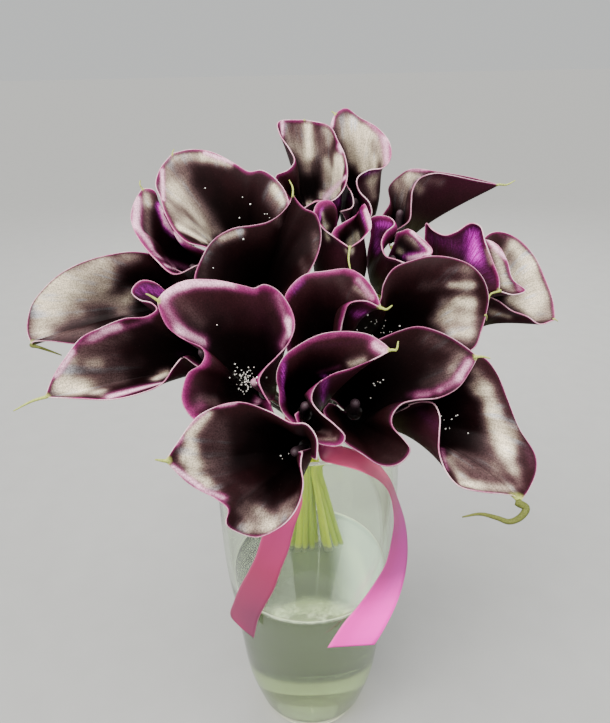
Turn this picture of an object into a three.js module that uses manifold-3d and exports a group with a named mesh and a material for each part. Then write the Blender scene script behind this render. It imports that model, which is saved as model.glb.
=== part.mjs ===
// Calla lily bouquet in a glass vase, tied with a satin ribbon.
// Millimetres, +Z up. The origin is the centre of the vase's foot, and the bouquet's front faces -Y.
import * as THREE from "three";
import { mergeVertices } from "three/addons/utils/BufferGeometryUtils.js";
import Module from "manifold-3d";

const wasm = await Module();
wasm.setup();

// Driving dimensions
const TIE_HEIGHT = 255; // where the stems are bound, in the mouth of the vase
const LEAN = THREE.MathUtils.degToRad(26); // the blooms are laid out on a frame that leans back this far
const GAP = 0.3; // between pieces that touch
const VASE_HEIGHT = 262;
const VASE_RADIUS = 60;
const FOOT_RADIUS = 30;
const GLASS_WALL = 3.4;
const GLASS_BASE = 12;
const WATER_LEVEL = 139;
const SPATHE_THICKNESS = 1.0;
const THROAT_RADIUS = 5.0; // of the spathe's rolled foot
const MOST_WRAP = THREE.MathUtils.degToRad(215); // of a margin round the foot, from the tip
const EVEN_SHARE = 0.5; // how far the ribs are spaced evenly round the foot, rather than as the rim stands
const WRAP_STEP = 0.8; // how far the outer margin's foot lies outside the middle, and the inner one inside
const THROAT_RISE = 0.45; // of the rib's height, over which it follows the throat's axis
const THROAT_BELLY = 0.14; // of the rib's length, by which the throat swells there
const LEAST_RISE = 20; // the rib's height counts as no less than this
const LIP_REACH = 0.27; // of the rib's length, over which it follows the lip's spread
const LIP_RISE = 0.47; // of the lip along the throat's axis, to 1 outwards
const AXIS_NEAR = 12; // nearer to the axis than this, the lip spreads as the foot does
const RIM_STEP = 12; // between the ribs, measured along the rim
const WALL_STEPS = 4; // from the foot up to the rim
const TAIL_RADIUS = 1.4; // of the tip's green tail where it leaves the spathe
const TAIL_POINT = 0.5; // and at its end
const TAIL_ROOT = 2; // sunk into the spathe
const LIP_SHARE = 0.6; // of the lip's direction in that of the tail's root
const TAIL_SIDES = 5;
const SPADIX_LENGTH = 26;
const SPADIX_RADIUS = 2.7;
const SPADIX_SIDES = 6;
const STEM_RADIUS = 2.6;
const BUNDLE_RADIUS = 11;
const RIBBON_WIDTH = 18;
const RIBBON_THICKNESS = 0.8;

// Materials
const GLASS = new THREE.MeshStandardMaterial({
  color: 0xdfe8e0, roughness: 0.05, metalness: 0, transparent: true, opacity: 0.35,
});
const WATER = new THREE.MeshStandardMaterial({
  color: 0xd5e2d8, roughness: 0.02, metalness: 0, transparent: true, opacity: 0.4,
});
const PETAL = new THREE.MeshStandardMaterial({ color: 0x2a1220, roughness: 0.4, metalness: 0 });
const MAUVE = new THREE.MeshStandardMaterial({ color: 0x7d4a68, roughness: 0.6, metalness: 0 });
const LEAF = new THREE.MeshStandardMaterial({ color: 0xa9b84a, roughness: 0.5, metalness: 0 });
const SATIN = new THREE.MeshStandardMaterial({ color: 0xc9638f, roughness: 0.4, metalness: 0 });

const bouquet = new THREE.Group();
bouquet.name = "calla_lily_bouquet";

function addPiece(name, geometry, material) {
  const mesh = new THREE.Mesh(geometry, material);
  mesh.name = name;
  bouquet.add(mesh);
  return mesh;
}

// A closed geometry as a solid for cutting and joining, and back.
function toSolid(geometry) {
  const bare = geometry.clone();
  bare.deleteAttribute("normal");
  bare.deleteAttribute("uv");
  const merged = mergeVertices(bare, 1e-4);
  return new wasm.Manifold(
    new wasm.Mesh({
      numProp: 3,
      vertProperties: merged.attributes.position.array,
      triVerts: new Uint32Array(merged.index.array),
    }),
  );
}

function fromSolid(solid) {
  const mesh = solid.getMesh();
  const geometry = new THREE.BufferGeometry();
  geometry.setAttribute("position", new THREE.BufferAttribute(mesh.vertProperties, 3));
  geometry.setIndex(new THREE.BufferAttribute(mesh.triVerts, 1));
  return geometry;
}

function joined(geometries) {
  return geometries.map(toSolid).reduce((all, one) => all.add(one));
}

// From the leaning frame, [right, up, out] from the tie, to the part's own frame.
function lean([right, up, out]) {
  return new THREE.Vector3(
    right,
    up * Math.sin(LEAN) - out * Math.cos(LEAN),
    TIE_HEIGHT + up * Math.cos(LEAN) + out * Math.sin(LEAN),
  );
}

// Blooms
// Each has the place of its foot, the point that its throat aims at, the points of the tip's green tail,
// and its rim, from the inner margin through the tip to the outer margin, all in the leaning frame.
// Those whose throat swells more than most have their own belly.
const BLOOMS = [
  {
    foot: [-39, 101, -21], aim: [-41, 121, 13], tip: 9,
    tail: [[-81, 175, 0]],
    rim: [
      [-38, 102, 17], [-49, 104, 23], [-59, 107, 26], [-69, 110, 27], [-77, 118, 24], [-83, 129, 21],
      [-87, 140, 15], [-91, 150, 10], [-89, 162, 4], [-82, 172, 1], [-70, 174, 2], [-56, 171, 5],
      [-41, 162, 9], [-32, 156, 12], [-24, 156, 14], [-15, 149, 17], [-9, 139, 20], [-8, 128, 22],
      [-13, 117, 22], [-23, 109, 20], [-34, 104, 15],
    ],
  },
  {
    foot: [-55, 87, -9], aim: [-73, 101, 11], tip: 7, belly: 0.24,
    tail: [[-99, 148, 16], [-99, 151, 15]],
    rim: [
      [-54, 98, 23], [-62, 95, 33], [-74, 89, 40], [-85, 98, 38], [-96, 111, 33], [-102, 125, 27],
      [-101, 137, 21], [-98, 146, 15], [-91, 145, 15], [-88, 137, 13], [-83, 129, 15], [-77, 118, 18],
      [-70, 111, 19], [-62, 107, 20], [-52, 103, 19],
    ],
  },
  {
    foot: [-28, 72, 1], aim: [-26, 88, 37], tip: 12,
    tail: [[-5, 138, 38], [-7, 143, 36]],
    rim: [
      [-24, 63, 39], [-36, 62, 45], [-50, 66, 48], [-59, 75, 49], [-61, 85, 49], [-57, 97, 47],
      [-51, 107, 45], [-40, 114, 43], [-29, 116, 41], [-20, 118, 40], [-13, 122, 40], [-7, 129, 39],
      [-5, 134, 39], [-2, 130, 37], [2, 126, 37], [8, 123, 37], [11, 113, 37], [10, 103, 37],
      [5, 91, 39], [-2, 81, 41], [-10, 73, 41], [-19, 66, 37],
    ],
  },
  {
    foot: [12, 126, -27], aim: [9, 136, 7], tip: 10, belly: 0.35,
    tail: [[3, 198, -19]],
    rim: [
      [0, 130, 11], [-5, 133, 11], [-10, 141, 11], [-15, 149, 11], [-16, 153, 12], [-8, 156, 14],
      [-4, 162, 12], [-7, 171, 8], [-13, 182, 3], [-14, 192, -2], [3, 195, -7], [19, 189, -3],
      [24, 178, 1], [28, 167, 5], [29, 153, 10], [26, 143, 13], [19, 136, 15], [9, 135, 17],
      [0, 131, 15],
    ],
  },
  {
    foot: [37, 123, -27], aim: [34, 152, -7], tip: 7, belly: 0.35,
    tail: [[21, 202, -12]],
    rim: [
      [24, 132, 3], [32, 134, 7], [32, 141, 7], [28, 150, 3], [24, 166, -9], [21, 180, -12],
      [20, 192, -12], [23, 200, -11], [30, 203, -10], [39, 196, -8], [50, 188, -5], [57, 176, 1],
      [57, 165, 5], [52, 158, 8], [42, 156, 9], [35, 151, 9], [36, 144, 8], [43, 136, 6], [44, 129, 3],
      [37, 123, 0],
    ],
  },
  {
    foot: [65, 115, -25], aim: [64, 140, -4], tip: 9,
    tail: [[134, 150, -8], [140, 153, -9]],
    rim: [
      [58, 119, -1], [63, 121, 7], [67, 124, 10], [68, 134, 12], [69, 142, 12], [74, 150, 10],
      [84, 154, 7], [96, 154, 2], [112, 152, -3], [129, 150, -7], [112, 157, -13], [93, 162, -17],
      [74, 165, -19], [65, 160, -18], [58, 152, -16], [58, 141, -13], [53, 133, -12], [50, 125, -13],
    ],
  },
  {
    foot: [23, 77, -4], aim: [24, 108, 16], tip: 8, belly: 0.45,
    tail: [[26, 95, 44], [27, 87, 46]],
    rim: [
      [17, 113, 25], [20, 118, 21], [26, 122, 18], [34, 127, 17], [38, 133, 17], [40, 127, 23],
      [41, 116, 29], [35, 108, 35], [27, 102, 41], [19, 109, 36], [12, 116, 30], [7, 126, 24],
      [10, 134, 19], [17, 136, 16], [21, 132, 14], [21, 129, 12],
    ],
  },
  {
    foot: [51, 83, -9], aim: [59, 109, 13], tip: 6, belly: 0.4,
    tail: [[65, 91, 37], [67, 93, 37]],
    rim: [
      [59, 117, 7], [62, 117, 12], [65, 117, 17], [71, 111, 23], [77, 101, 29], [70, 96, 31],
      [63, 92, 35], [55, 96, 32], [49, 99, 29], [47, 107, 26], [50, 114, 23], [56, 120, 20],
      [53, 125, 17], [44, 126, 15], [40, 123, 11],
    ],
  },
  {
    foot: [88, 68, -11], aim: [106, 109, 5], tip: 8,
    tail: [[114, 76, 18], [112, 70, 19]],
    rim: [
      [95, 100, -5], [105, 109, -6], [116, 114, -5], [125, 110, -2], [130, 99, 2], [132, 86, 7],
      [139, 79, 9], [130, 76, 13], [120, 78, 17], [120, 86, 17], [116, 97, 17], [112, 108, 17],
      [109, 118, 17], [103, 120, 17], [94, 115, 17], [87, 113, 17], [80, 117, 15], [77, 122, 11],
      [77, 113, 5],
    ],
  },
  {
    foot: [116, 60, -27], aim: [123, 85, -11], tip: 5,
    tail: [[164, 60, -4]],
    rim: [
      [118, 77, -1], [125, 73, 1], [132, 67, 3], [142, 63, 3], [150, 58, 2], [162, 61, -3],
      [163, 75, -9], [159, 90, -12], [153, 104, -13], [143, 115, -13], [132, 120, -12], [123, 119, -11],
      [115, 110, -11], [108, 95, -11], [112, 83, -9],
    ],
  },
  {
    foot: [39, 35, 9], aim: [47, 50, 35], tip: 14,
    tail: [[105, 59, 39]],
    rim: [
      [28, 49, 33], [23, 55, 36], [24, 61, 41], [30, 65, 46], [37, 66, 50], [42, 70, 53], [44, 79, 54],
      [50, 88, 53], [60, 92, 53], [71, 94, 55], [83, 92, 57], [92, 88, 57], [99, 81, 55], [103, 71, 51],
      [102, 61, 49], [98, 52, 53], [93, 43, 57], [82, 38, 59], [68, 36, 57], [56, 40, 51], [47, 44, 45],
    ],
  },
  {
    foot: [-79, 75, 7], aim: [-86, 77, 29], tip: 6,
    tail: [[-154, 49, 38], [-149, 47, 36], [-142, 44, 34]],
    rim: [
      [-85, 61, 29], [-96, 54, 33], [-114, 51, 37], [-131, 50, 40], [-146, 52, 41], [-156, 52, 40],
      [-159, 50, 35], [-163, 59, 32], [-160, 73, 33], [-150, 84, 36], [-139, 92, 38], [-126, 98, 38],
      [-112, 102, 36], [-101, 104, 33], [-90, 103, 29], [-83, 98, 22], [-78, 91, 18], [-77, 82, 21],
      [-80, 72, 25],
    ],
  },
  {
    foot: [-55, 35, 23], aim: [-58, 44, 45], tip: 8,
    tail: [[-148, 19, 61], [-158, 14, 61]],
    rim: [
      [-58, 34, 48], [-63, 38, 51], [-67, 41, 55], [-72, 36, 56], [-78, 27, 59], [-89, 22, 61],
      [-105, 19, 62], [-124, 20, 62], [-141, 21, 61], [-137, 31, 61], [-129, 43, 61], [-121, 53, 60],
      [-111, 58, 59], [-98, 63, 58], [-86, 64, 57], [-81, 68, 55], [-85, 72, 52], [-92, 74, 49],
      [-97, 79, 47], [-92, 85, 46], [-84, 84, 44], [-76, 76, 43], [-66, 64, 42], [-58, 53, 40],
      [-50, 48, 37],
    ],
  },
  {
    foot: [-23, 20, 35], aim: [-30, 30, 69], tip: 14, belly: 0.2,
    tail: [[-77, 72, 84], [-79, 73, 85]],
    rim: [
      [-23, 8, 68], [-29, 7, 75], [-35, 5, 81], [-46, 5, 84], [-57, 10, 85], [-62, 18, 85],
      [-62, 24, 85], [-59, 33, 83], [-53, 37, 81], [-51, 42, 80], [-53, 46, 80], [-61, 50, 81],
      [-69, 56, 82], [-73, 65, 83], [-74, 70, 83], [-70, 75, 81], [-61, 80, 78], [-47, 81, 73],
      [-31, 78, 69], [-26, 77, 67], [-21, 79, 66], [-14, 76, 65], [-7, 66, 66], [-5, 57, 67],
      [-8, 48, 68], [-15, 40, 69], [-21, 34, 71], [-24, 28, 73], [-24, 23, 75], [-25, 18, 76],
    ],
  },
  {
    foot: [14, 22, 13], aim: [12, 44, 35], tip: 5,
    tail: [[42, 63, 80], [45, 65, 80]],
    rim: [
      [17, 42, 53], [19, 50, 60], [21, 60, 67], [24, 67, 74], [32, 68, 76], [40, 64, 77], [38, 72, 72],
      [33, 81, 66], [25, 87, 60], [12, 87, 54], [1, 86, 50], [-8, 79, 47], [-12, 70, 45], [-12, 60, 45],
      [-11, 50, 44], [-9, 41, 44], [-3, 36, 45], [6, 35, 46],
    ],
  },
  {
    foot: [-1, 7, 39], aim: [0, 16, 71], tip: 13, belly: 0.22,
    tail: [[43, 42, 104], [44, 46, 104]],
    rim: [
      [-6, 10, 75], [-3, 3, 80], [4, -3, 84], [11, -5, 87], [17, -4, 90], [19, 0, 91], [14, 6, 91],
      [7, 12, 90], [3, 18, 90], [5, 25, 91], [13, 31, 94], [23, 34, 97], [33, 38, 101], [41, 42, 102],
      [37, 46, 99], [31, 50, 95], [20, 52, 90], [8, 51, 85], [-3, 46, 81], [-11, 40, 78], [-15, 31, 75],
      [-14, 21, 71], [-14, 15, 69], [-12, 10, 67], [-6, 3, 65],
    ],
  },
  {
    foot: [27, 8, 45], aim: [26, 15, 69], tip: 17, belly: 0.22,
    tail: [[87, 38, 91], [91, 37, 91]],
    rim: [
      [20, 14, 67], [15, 11, 72], [14, 3, 77], [19, -4, 80], [28, -10, 84], [36, -15, 87],
      [43, -15, 90], [48, -12, 91], [51, -7, 91], [48, -2, 90], [43, 4, 88], [43, 9, 86], [48, 15, 85],
      [56, 17, 85], [67, 18, 86], [76, 23, 88], [82, 32, 90], [85, 38, 91], [81, 42, 89], [73, 48, 87],
      [65, 52, 85], [57, 54, 83], [48, 52, 80], [38, 48, 77], [27, 41, 73], [20, 32, 70], [19, 23, 66],
      [21, 16, 62],
    ],
  },
  {
    foot: [48, 2, 35], aim: [68, 16, 63], tip: 10,
    tail: [[106, -36, 94], [103, -40, 95], [97, -42, 96], [91, -40, 96], [83, -38, 96], [74, -39, 97]],
    rim: [
      [61, 22, 61], [69, 30, 65], [82, 39, 69], [93, 38, 71], [100, 30, 71], [105, 16, 73],
      [110, 1, 75], [118, -13, 75], [117, -21, 79], [111, -29, 85], [103, -34, 93], [102, -31, 92],
      [97, -30, 91], [86, -29, 89], [75, -26, 89], [69, -19, 88], [66, -9, 86], [67, 0, 83],
      [68, 8, 80], [66, 14, 76], [61, 15, 70], [55, 13, 63],
    ],
  },
  {
    foot: [0, -10, 55], aim: [-10, -8, 93], tip: 11,
    tail: [[-68, -5, 118]],
    rim: [
      [-2, -7, 89], [-3, -13, 94], [-2, -22, 97], [-5, -32, 99], [-12, -40, 101], [-24, -45, 103],
      [-34, -41, 107], [-38, -36, 111], [-37, -30, 110], [-43, -25, 109], [-54, -18, 111],
      [-64, -6, 116], [-58, 3, 114], [-49, 14, 109], [-32, 19, 102], [-18, 14, 97], [-7, 8, 95],
      [0, 7, 93], [5, 0, 92], [5, -11, 91],
    ],
  },
];

const number = (index) => String(index + 1).padStart(2, "0");

// The throat's axis, and two directions across it.
function throatFrame(bloom) {
  const foot = lean(bloom.foot);
  const axis = lean(bloom.aim).sub(foot).normalize();
  const tip = lean(bloom.rim[bloom.tip]).sub(foot);
  const toTip = tip.addScaledVector(axis, -tip.dot(axis)).normalize();
  const side = new THREE.Vector3().crossVectors(axis, toTip);
  return { foot, axis, toTip, side };
}

// Points along the rim, evenly spaced on each side of the tip, with how far round the throat each is:
// -1 at the inner margin, 0 at the tip, 1 at the outer margin.
function rimPoints(bloom, spacing) {
  const all = bloom.rim.map(lean);
  const inner = new THREE.CatmullRomCurve3(all.slice(0, bloom.tip + 1), false, "centripetal");
  const outer = new THREE.CatmullRomCurve3(all.slice(bloom.tip), false, "centripetal");
  const before = Math.max(5, Math.round(inner.getLength() / spacing));
  const after = Math.max(5, Math.round(outer.getLength() / spacing));
  const points = inner.getSpacedPoints(before).map((end, i) => ({ end, along: i / before - 1 }));
  const rest = outer.getSpacedPoints(after).map((end, i) => ({ end, along: i / after }));
  return [...points, ...rest.slice(1)];
}

// How far round the throat each point of the rim stands, in radians from the tip, turning one way only.
function throatAngles(rim, frame) {
  const angles = [];
  for (const { end } of rim) {
    const out = end.clone().sub(frame.foot);
    const angle = Math.atan2(out.dot(frame.side), out.dot(frame.toTip));
    const last = angles.at(-1) ?? angle;
    angles.push(angle + 2 * Math.PI * Math.round((last - angle) / (2 * Math.PI)));
  }
  const tip = rim.findIndex(({ along }) => along === 0);
  const turned = angles.map((angle) => angle - angles[tip]);
  for (const [end, step] of [[0, -1], [rim.length - 1, 1]]) {
    const most = Math.max(-MOST_WRAP, Math.min(MOST_WRAP, turned[end]));
    let reached = 0;
    for (let i = tip; i !== end + step; i += step) {
      reached = Math.max(reached, Math.min(1, turned[i] / most));
      const even = Math.abs(rim[i].along);
      turned[i] = most * (EVEN_SHARE * even + (1 - EVEN_SHARE) * reached);
    }
  }
  return turned;
}

// The spathe's middle surface: rows from the rolled foot up to the rim.
function spatheRows(bloom, spacing, wallSteps) {
  const frame = throatFrame(bloom);
  const rim = rimPoints(bloom, spacing);
  const angles = throatAngles(rim, frame);
  const [inner, outer] = [angles[0], angles.at(-1)];
  const rows = [];
  for (let v = 0; v <= wallSteps; v++) rows.push([]);
  rim.forEach(({ end }, i) => {
    const angle = angles[i];
    const outward = frame.toTip.clone().multiplyScalar(Math.cos(angle));
    outward.addScaledVector(frame.side, Math.sin(angle));
    const round = (2 * (angle - inner)) / (outer - inner) - 1;
    const radius = THROAT_RADIUS + WRAP_STEP * round;
    const start = frame.foot.clone().addScaledVector(outward, radius);
    const reach = end.distanceTo(start);
    const toEnd = end.clone().sub(frame.foot);
    const height = toEnd.dot(frame.axis);
    const flare = toEnd.addScaledVector(frame.axis, -height);
    const spread = flare.length();
    flare.multiplyScalar(1 / Math.max(spread, 1e-6));
    const weight = Math.min(1, spread / AXIS_NEAR);
    const direction = outward.clone().multiplyScalar(1 - weight).addScaledVector(flare, weight).normalize();
    const lipTangent = direction.addScaledVector(frame.axis, LIP_RISE).normalize();
    const low = start.clone().addScaledVector(frame.axis, THROAT_RISE * Math.max(height, LEAST_RISE));
    low.addScaledVector(outward, (bloom.belly ?? THROAT_BELLY) * reach);
    const high = end.clone().addScaledVector(lipTangent, -LIP_REACH * reach);
    const rib = new THREE.CubicBezierCurve3(start, low, high, end);
    for (let v = 0; v <= wallSteps; v++) rows[v].push(rib.getPoint(v / wallSteps));
  });
  return rows;
}

// A closed sheet of even thickness round a grid of points. Both faces are split into triangles alike.
function sheetGeometry(rows, thickness) {
  const rowCount = rows.length;
  const columnCount = rows[0].length;
  const positions = [];
  const within = (i, count) => Math.min(Math.max(i, 0), count - 1);
  const at = (r, c) => rows[within(r, rowCount)][within(c, columnCount)];
  for (const face of [1, -1]) {
    for (let r = 0; r < rowCount; r++) {
      for (let c = 0; c < columnCount; c++) {
        const along = new THREE.Vector3().subVectors(at(r, c + 1), at(r, c - 1));
        const up = new THREE.Vector3().subVectors(at(r + 1, c), at(r - 1, c));
        const normal = along.cross(up).normalize();
        const point = rows[r][c].clone().addScaledVector(normal, (face * thickness) / 2);
        positions.push(point.x, point.y, point.z);
      }
    }
  }
  const sheetSize = rowCount * columnCount;
  const id = (r, c, back) => r * columnCount + c + (back ? sheetSize : 0);
  const index = [];
  for (let r = 0; r + 1 < rowCount; r++) {
    for (let c = 0; c + 1 < columnCount; c++) {
      const flip = rows[r][c].distanceTo(rows[r + 1][c + 1]) > rows[r][c + 1].distanceTo(rows[r + 1][c]);
      const corners = [[r, c], [r, c + 1], [r + 1, c + 1], [r + 1, c]];
      const order = flip ? [[0, 1, 3], [1, 2, 3]] : [[0, 1, 2], [0, 2, 3]];
      for (const [i, j, k] of order) {
        index.push(id(...corners[i]), id(...corners[j]), id(...corners[k]));
        index.push(id(...corners[i], true), id(...corners[k], true), id(...corners[j], true));
      }
    }
  }
  const edge = (r1, c1, r2, c2) => {
    index.push(id(r1, c1), id(r1, c1, true), id(r2, c2, true));
    index.push(id(r1, c1), id(r2, c2, true), id(r2, c2));
  };
  for (let c = 0; c + 1 < columnCount; c++) {
    edge(0, c, 0, c + 1);
    edge(rowCount - 1, c + 1, rowCount - 1, c);
  }
  for (let r = 0; r + 1 < rowCount; r++) {
    edge(r + 1, 0, r, 0);
    edge(r, columnCount - 1, r + 1, columnCount - 1);
  }
  const geometry = new THREE.BufferGeometry();
  geometry.setAttribute("position", new THREE.Float32BufferAttribute(positions, 3));
  geometry.setIndex(index);
  return geometry;
}

// A round tube through rings of [centre, direction, radius], closed at both ends.
function tubeGeometry(rings, sides) {
  const positions = [];
  const index = [];
  let across = new THREE.Vector3(1, 0, 0);
  if (Math.abs(rings[0][1].x) > 0.8) across = new THREE.Vector3(0, 1, 0);
  for (const [centre, direction, radius] of rings) {
    across.addScaledVector(direction, -across.dot(direction)).normalize();
    const other = new THREE.Vector3().crossVectors(direction, across);
    for (let s = 0; s < sides; s++) {
      const angle = (2 * Math.PI * s) / sides;
      const point = centre.clone().addScaledVector(across, radius * Math.cos(angle));
      point.addScaledVector(other, radius * Math.sin(angle));
      positions.push(point.x, point.y, point.z);
    }
  }
  const last = (rings.length - 1) * sides;
  for (let r = 0; r + 1 < rings.length; r++) {
    for (let s = 0; s < sides; s++) {
      const a = r * sides + s;
      const b = r * sides + ((s + 1) % sides);
      index.push(a, b, b + sides, a, b + sides, a + sides);
    }
  }
  for (let s = 1; s + 1 < sides; s++) {
    index.push(0, s + 1, s);
    index.push(last, last + s, last + s + 1);
  }
  const geometry = new THREE.BufferGeometry();
  geometry.setAttribute("position", new THREE.Float32BufferAttribute(positions, 3));
  geometry.setIndex(index);
  return geometry;
}

// The green tail in which the spathe's tip ends: it leaves along the lip and curls through its points.
function tailTube(bloom, rows) {
  const column = rimPoints(bloom, RIM_STEP).findIndex(({ along }) => along === 0);
  const tip = rows.at(-1)[column];
  const lip = tip.clone().sub(rows.at(-2)[column]).normalize();
  const curl = bloom.tail.map(lean);
  const away = curl[0].clone().sub(tip).normalize().addScaledVector(lip, LIP_SHARE).normalize();
  const root = tip.clone().addScaledVector(away, -TAIL_ROOT);
  const route = new THREE.CatmullRomCurve3([root, tip, ...curl], false, "centripetal");
  const steps = bloom.tail.length + 2;
  const rings = [];
  for (let i = 0; i <= steps; i++) {
    const t = i / steps;
    const radius = TAIL_RADIUS + (TAIL_POINT - TAIL_RADIUS) * t;
    rings.push([route.getPoint(t), route.getTangent(t), i === 0 ? TAIL_POINT : radius]);
  }
  return tubeGeometry(rings, TAIL_SIDES);
}

BLOOMS.forEach((bloom, i) => {
  const rows = spatheRows(bloom, RIM_STEP, WALL_STEPS);
  const sheet = sheetGeometry(rows, SPATHE_THICKNESS);
  addPiece(`spathe_${number(i)}`, fromSolid(joined([sheet, tailTube(bloom, rows)])), PETAL);
});

// Spadices: a blunt finger on each stem's head
BLOOMS.forEach((bloom, i) => {
  const { foot, axis } = throatFrame(bloom);
  const profile = [[0, 0.8], [0.25, 0.95], [0.6, 1], [0.88, 0.85], [1, 0.4]];
  const rings = profile.map(([along, fat]) => [
    foot.clone().addScaledVector(axis, GAP + along * SPADIX_LENGTH), axis, fat * SPADIX_RADIUS,
  ]);
  addPiece(`spadix_${number(i)}`, tubeGeometry(rings, SPADIX_SIDES), MAUVE);
});

// Stems
// Each bends in from its bloom to the tie, and from there fans out a little to its cut end in the water.
const STEM_ENDS = { x: 9, y: 11, height: 116 }; // the middle of the cut ends
const CROSSING = { x: 1.3, y: 0.8 }; // how far across the middle a stem's end lies, to its place in the tie
const UNEVEN_CUT = 3;
const CUT_TURN = 2.4; // radians from one stem to the next, by which their cuts differ
const STEM_SIDES = 6;
const HEAD_RADIUS = THROAT_RADIUS + WRAP_STEP;
const NECK_LENGTH = 14;
const SLOT_SHARE = 0.13; // of a bloom's distance from the middle, to its stem's place in the tie

function stemRings(bloom, index, swell) {
  const { foot, axis } = throatFrame(bloom);
  const side = new THREE.Vector2(foot.x, foot.y);
  const slot = side.multiplyScalar(Math.min(SLOT_SHARE, (BUNDLE_RADIUS - STEM_RADIUS) / side.length()));
  const top = foot.clone().addScaledVector(axis, -1.5 * GAP);
  const neck = foot.clone().addScaledVector(axis, -NECK_LENGTH);
  const tie = new THREE.Vector3(slot.x, slot.y, TIE_HEIGHT);
  const endX = STEM_ENDS.x - CROSSING.x * slot.x;
  const endY = STEM_ENDS.y - CROSSING.y * slot.y;
  const cut = STEM_ENDS.height + UNEVEN_CUT * Math.sin(CUT_TURN * index);
  const end = new THREE.Vector3(endX, endY, cut - swell);
  const route = new THREE.CatmullRomCurve3([top, neck, tie, end], false, "centripetal");
  const rings = [[top, axis.clone().negate(), HEAD_RADIUS + swell]];
  for (const t of [0.12, 0.3, 0.45, 0.58, 0.72, 1]) {
    rings.push([route.getPoint(t), route.getTangent(t), STEM_RADIUS + swell]);
  }
  return rings;
}

const stems = joined(BLOOMS.map((bloom, i) => tubeGeometry(stemRings(bloom, i, 0), STEM_SIDES)));
const stemSleeves = joined(BLOOMS.map((bloom, i) => tubeGeometry(stemRings(bloom, i, GAP), STEM_SIDES)));
addPiece("stems", fromSolid(stems), LEAF);

// Vase: blown clear glass, widest near the top, with a thick base
const OUTSIDE = [
  [FOOT_RADIUS, 0], [34.5, 1.5], [38, 6], [42, 14], [49, 42], [52.5, 75], [55.5, 110], [58, 132],
  [59.5, 155], [VASE_RADIUS, 180], [VASE_RADIUS, 215], [59, 245], [58, 260],
];
const RIM_TOP = [[57.2, VASE_HEIGHT], [55.4, VASE_HEIGHT]];
const insideRadius = (height) => {
  for (let i = 1; i < OUTSIDE.length; i++) {
    const [r0, z0] = OUTSIDE[i - 1];
    const [r1, z1] = OUTSIDE[i];
    if (height <= z1) return r0 + ((r1 - r0) * (height - z0)) / (z1 - z0) - GLASS_WALL;
  }
  return OUTSIDE.at(-1)[0] - GLASS_WALL;
};
const INSIDE_HEIGHTS = [20, 42, 75, 110, 132, 155, 180, 215, 245, 260];
const inside = INSIDE_HEIGHTS.map((height) => [insideRadius(height), height]);
const WELL = [[0, GLASS_BASE], [30, GLASS_BASE + 1.5]];
const ROUND = 28; // facets round the vase

// A profile of [radius, height] spun about the vase's axis, which is +Z.
function spun(profile) {
  const geometry = new THREE.LatheGeometry(profile.map(([r, z]) => new THREE.Vector2(r, z)), ROUND);
  return geometry.rotateX(Math.PI / 2);
}

const glassProfile = [[0, 0], ...OUTSIDE, ...RIM_TOP, ...inside.toReversed(), ...WELL.toReversed()];
addPiece("vase", fromSolid(toSolid(spun(glassProfile))), GLASS);

// Water, with a hole for each stem
const waterSide = INSIDE_HEIGHTS.filter((height) => height < WATER_LEVEL);
const waterProfile = [
  [0, GLASS_BASE + GAP], [30 - GAP, GLASS_BASE + 1.5 + GAP],
  ...waterSide.map((height) => [insideRadius(height) - GAP, height]),
  [insideRadius(WATER_LEVEL) - GAP, WATER_LEVEL], [0, WATER_LEVEL],
];
addPiece("water", fromSolid(toSolid(spun(waterProfile)).subtract(stemSleeves)), WATER);

// Ribbon: a satin band bound round the stems, with a hole for each, and two tails that hang over the rim
// down the glass. Each row of a tail is its right and its left edge.
const BAND_OUTSIDE = 14;
const BAND_WIDTH = 2.6; // of its stack of turns
const BAND_WAIST = 0.6; // how far it is drawn in at its middle
const BAND_HEIGHTS = [TIE_HEIGHT - RIBBON_WIDTH / 2, TIE_HEIGHT, TIE_HEIGHT + RIBBON_WIDTH / 2];
const bandProfile = [
  [BAND_OUTSIDE - BAND_WIDTH, BAND_HEIGHTS[0]], [BAND_OUTSIDE, BAND_HEIGHTS[0]],
  [BAND_OUTSIDE - BAND_WAIST, BAND_HEIGHTS[1]], [BAND_OUTSIDE, BAND_HEIGHTS[2]],
  [BAND_OUTSIDE - BAND_WIDTH, BAND_HEIGHTS[2]], [BAND_OUTSIDE - BAND_WIDTH, BAND_HEIGHTS[0]],
];
addPiece("ribbon_band", fromSolid(toSolid(spun(bandProfile)).subtract(stemSleeves)), SATIN);

const TAIL_RIGHT = [
  [[7, -13, 263], [6, -13.3, 248]], [[9, -32, 267], [7, -34, 258]], [[15, -46, 268], [10, -52, 264]],
  [[24, -50, 268], [12, -62, 263]], [[31, -53, 265], [21, -63, 254]], [[38, -51, 257], [29, -56, 245]],
  [[46, -44, 246], [38, -51, 235]], [[57, -35, 216], [46, -42, 220]], [[61, -31, 200], [50, -36, 201]],
  [[65, -26, 180], [53, -33, 182]], [[65, -28, 162], [51, -36, 166]], [[60, -38, 148], [44, -43, 155]],
  [[54, -45, 134], [37, -50, 146]], [[46, -49, 118], [25, -57, 131]], [[43, -51, 110], [11, -60, 117]],
];
const TAIL_LEFT = [
  [[-6, -13.6, 264], [-8, -12.6, 249]], [[-9, -32, 266], [-15, -31, 257]],
  [[-10, -50, 265], [-24, -45, 263]], [[-10, -59, 264], [-27, -52.5, 264]],
  [[-8, -62.5, 256], [-24, -57.5, 253]], [[-3, -63, 243], [-19, -60.5, 238]],
  [[-8, -63, 222], [-26, -58, 216]], [[-12, -62, 204], [-32, -55, 194]],
  [[-17, -61, 188], [-38, -51, 177]], [[-22, -59, 170], [-44, -46, 161]],
  [[-28, -56, 154], [-50, -41, 142]], [[-34, -52, 136], [-54, -37, 123]],
  [[-38, -49, 116], [-47, -43, 119]],
];

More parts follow.
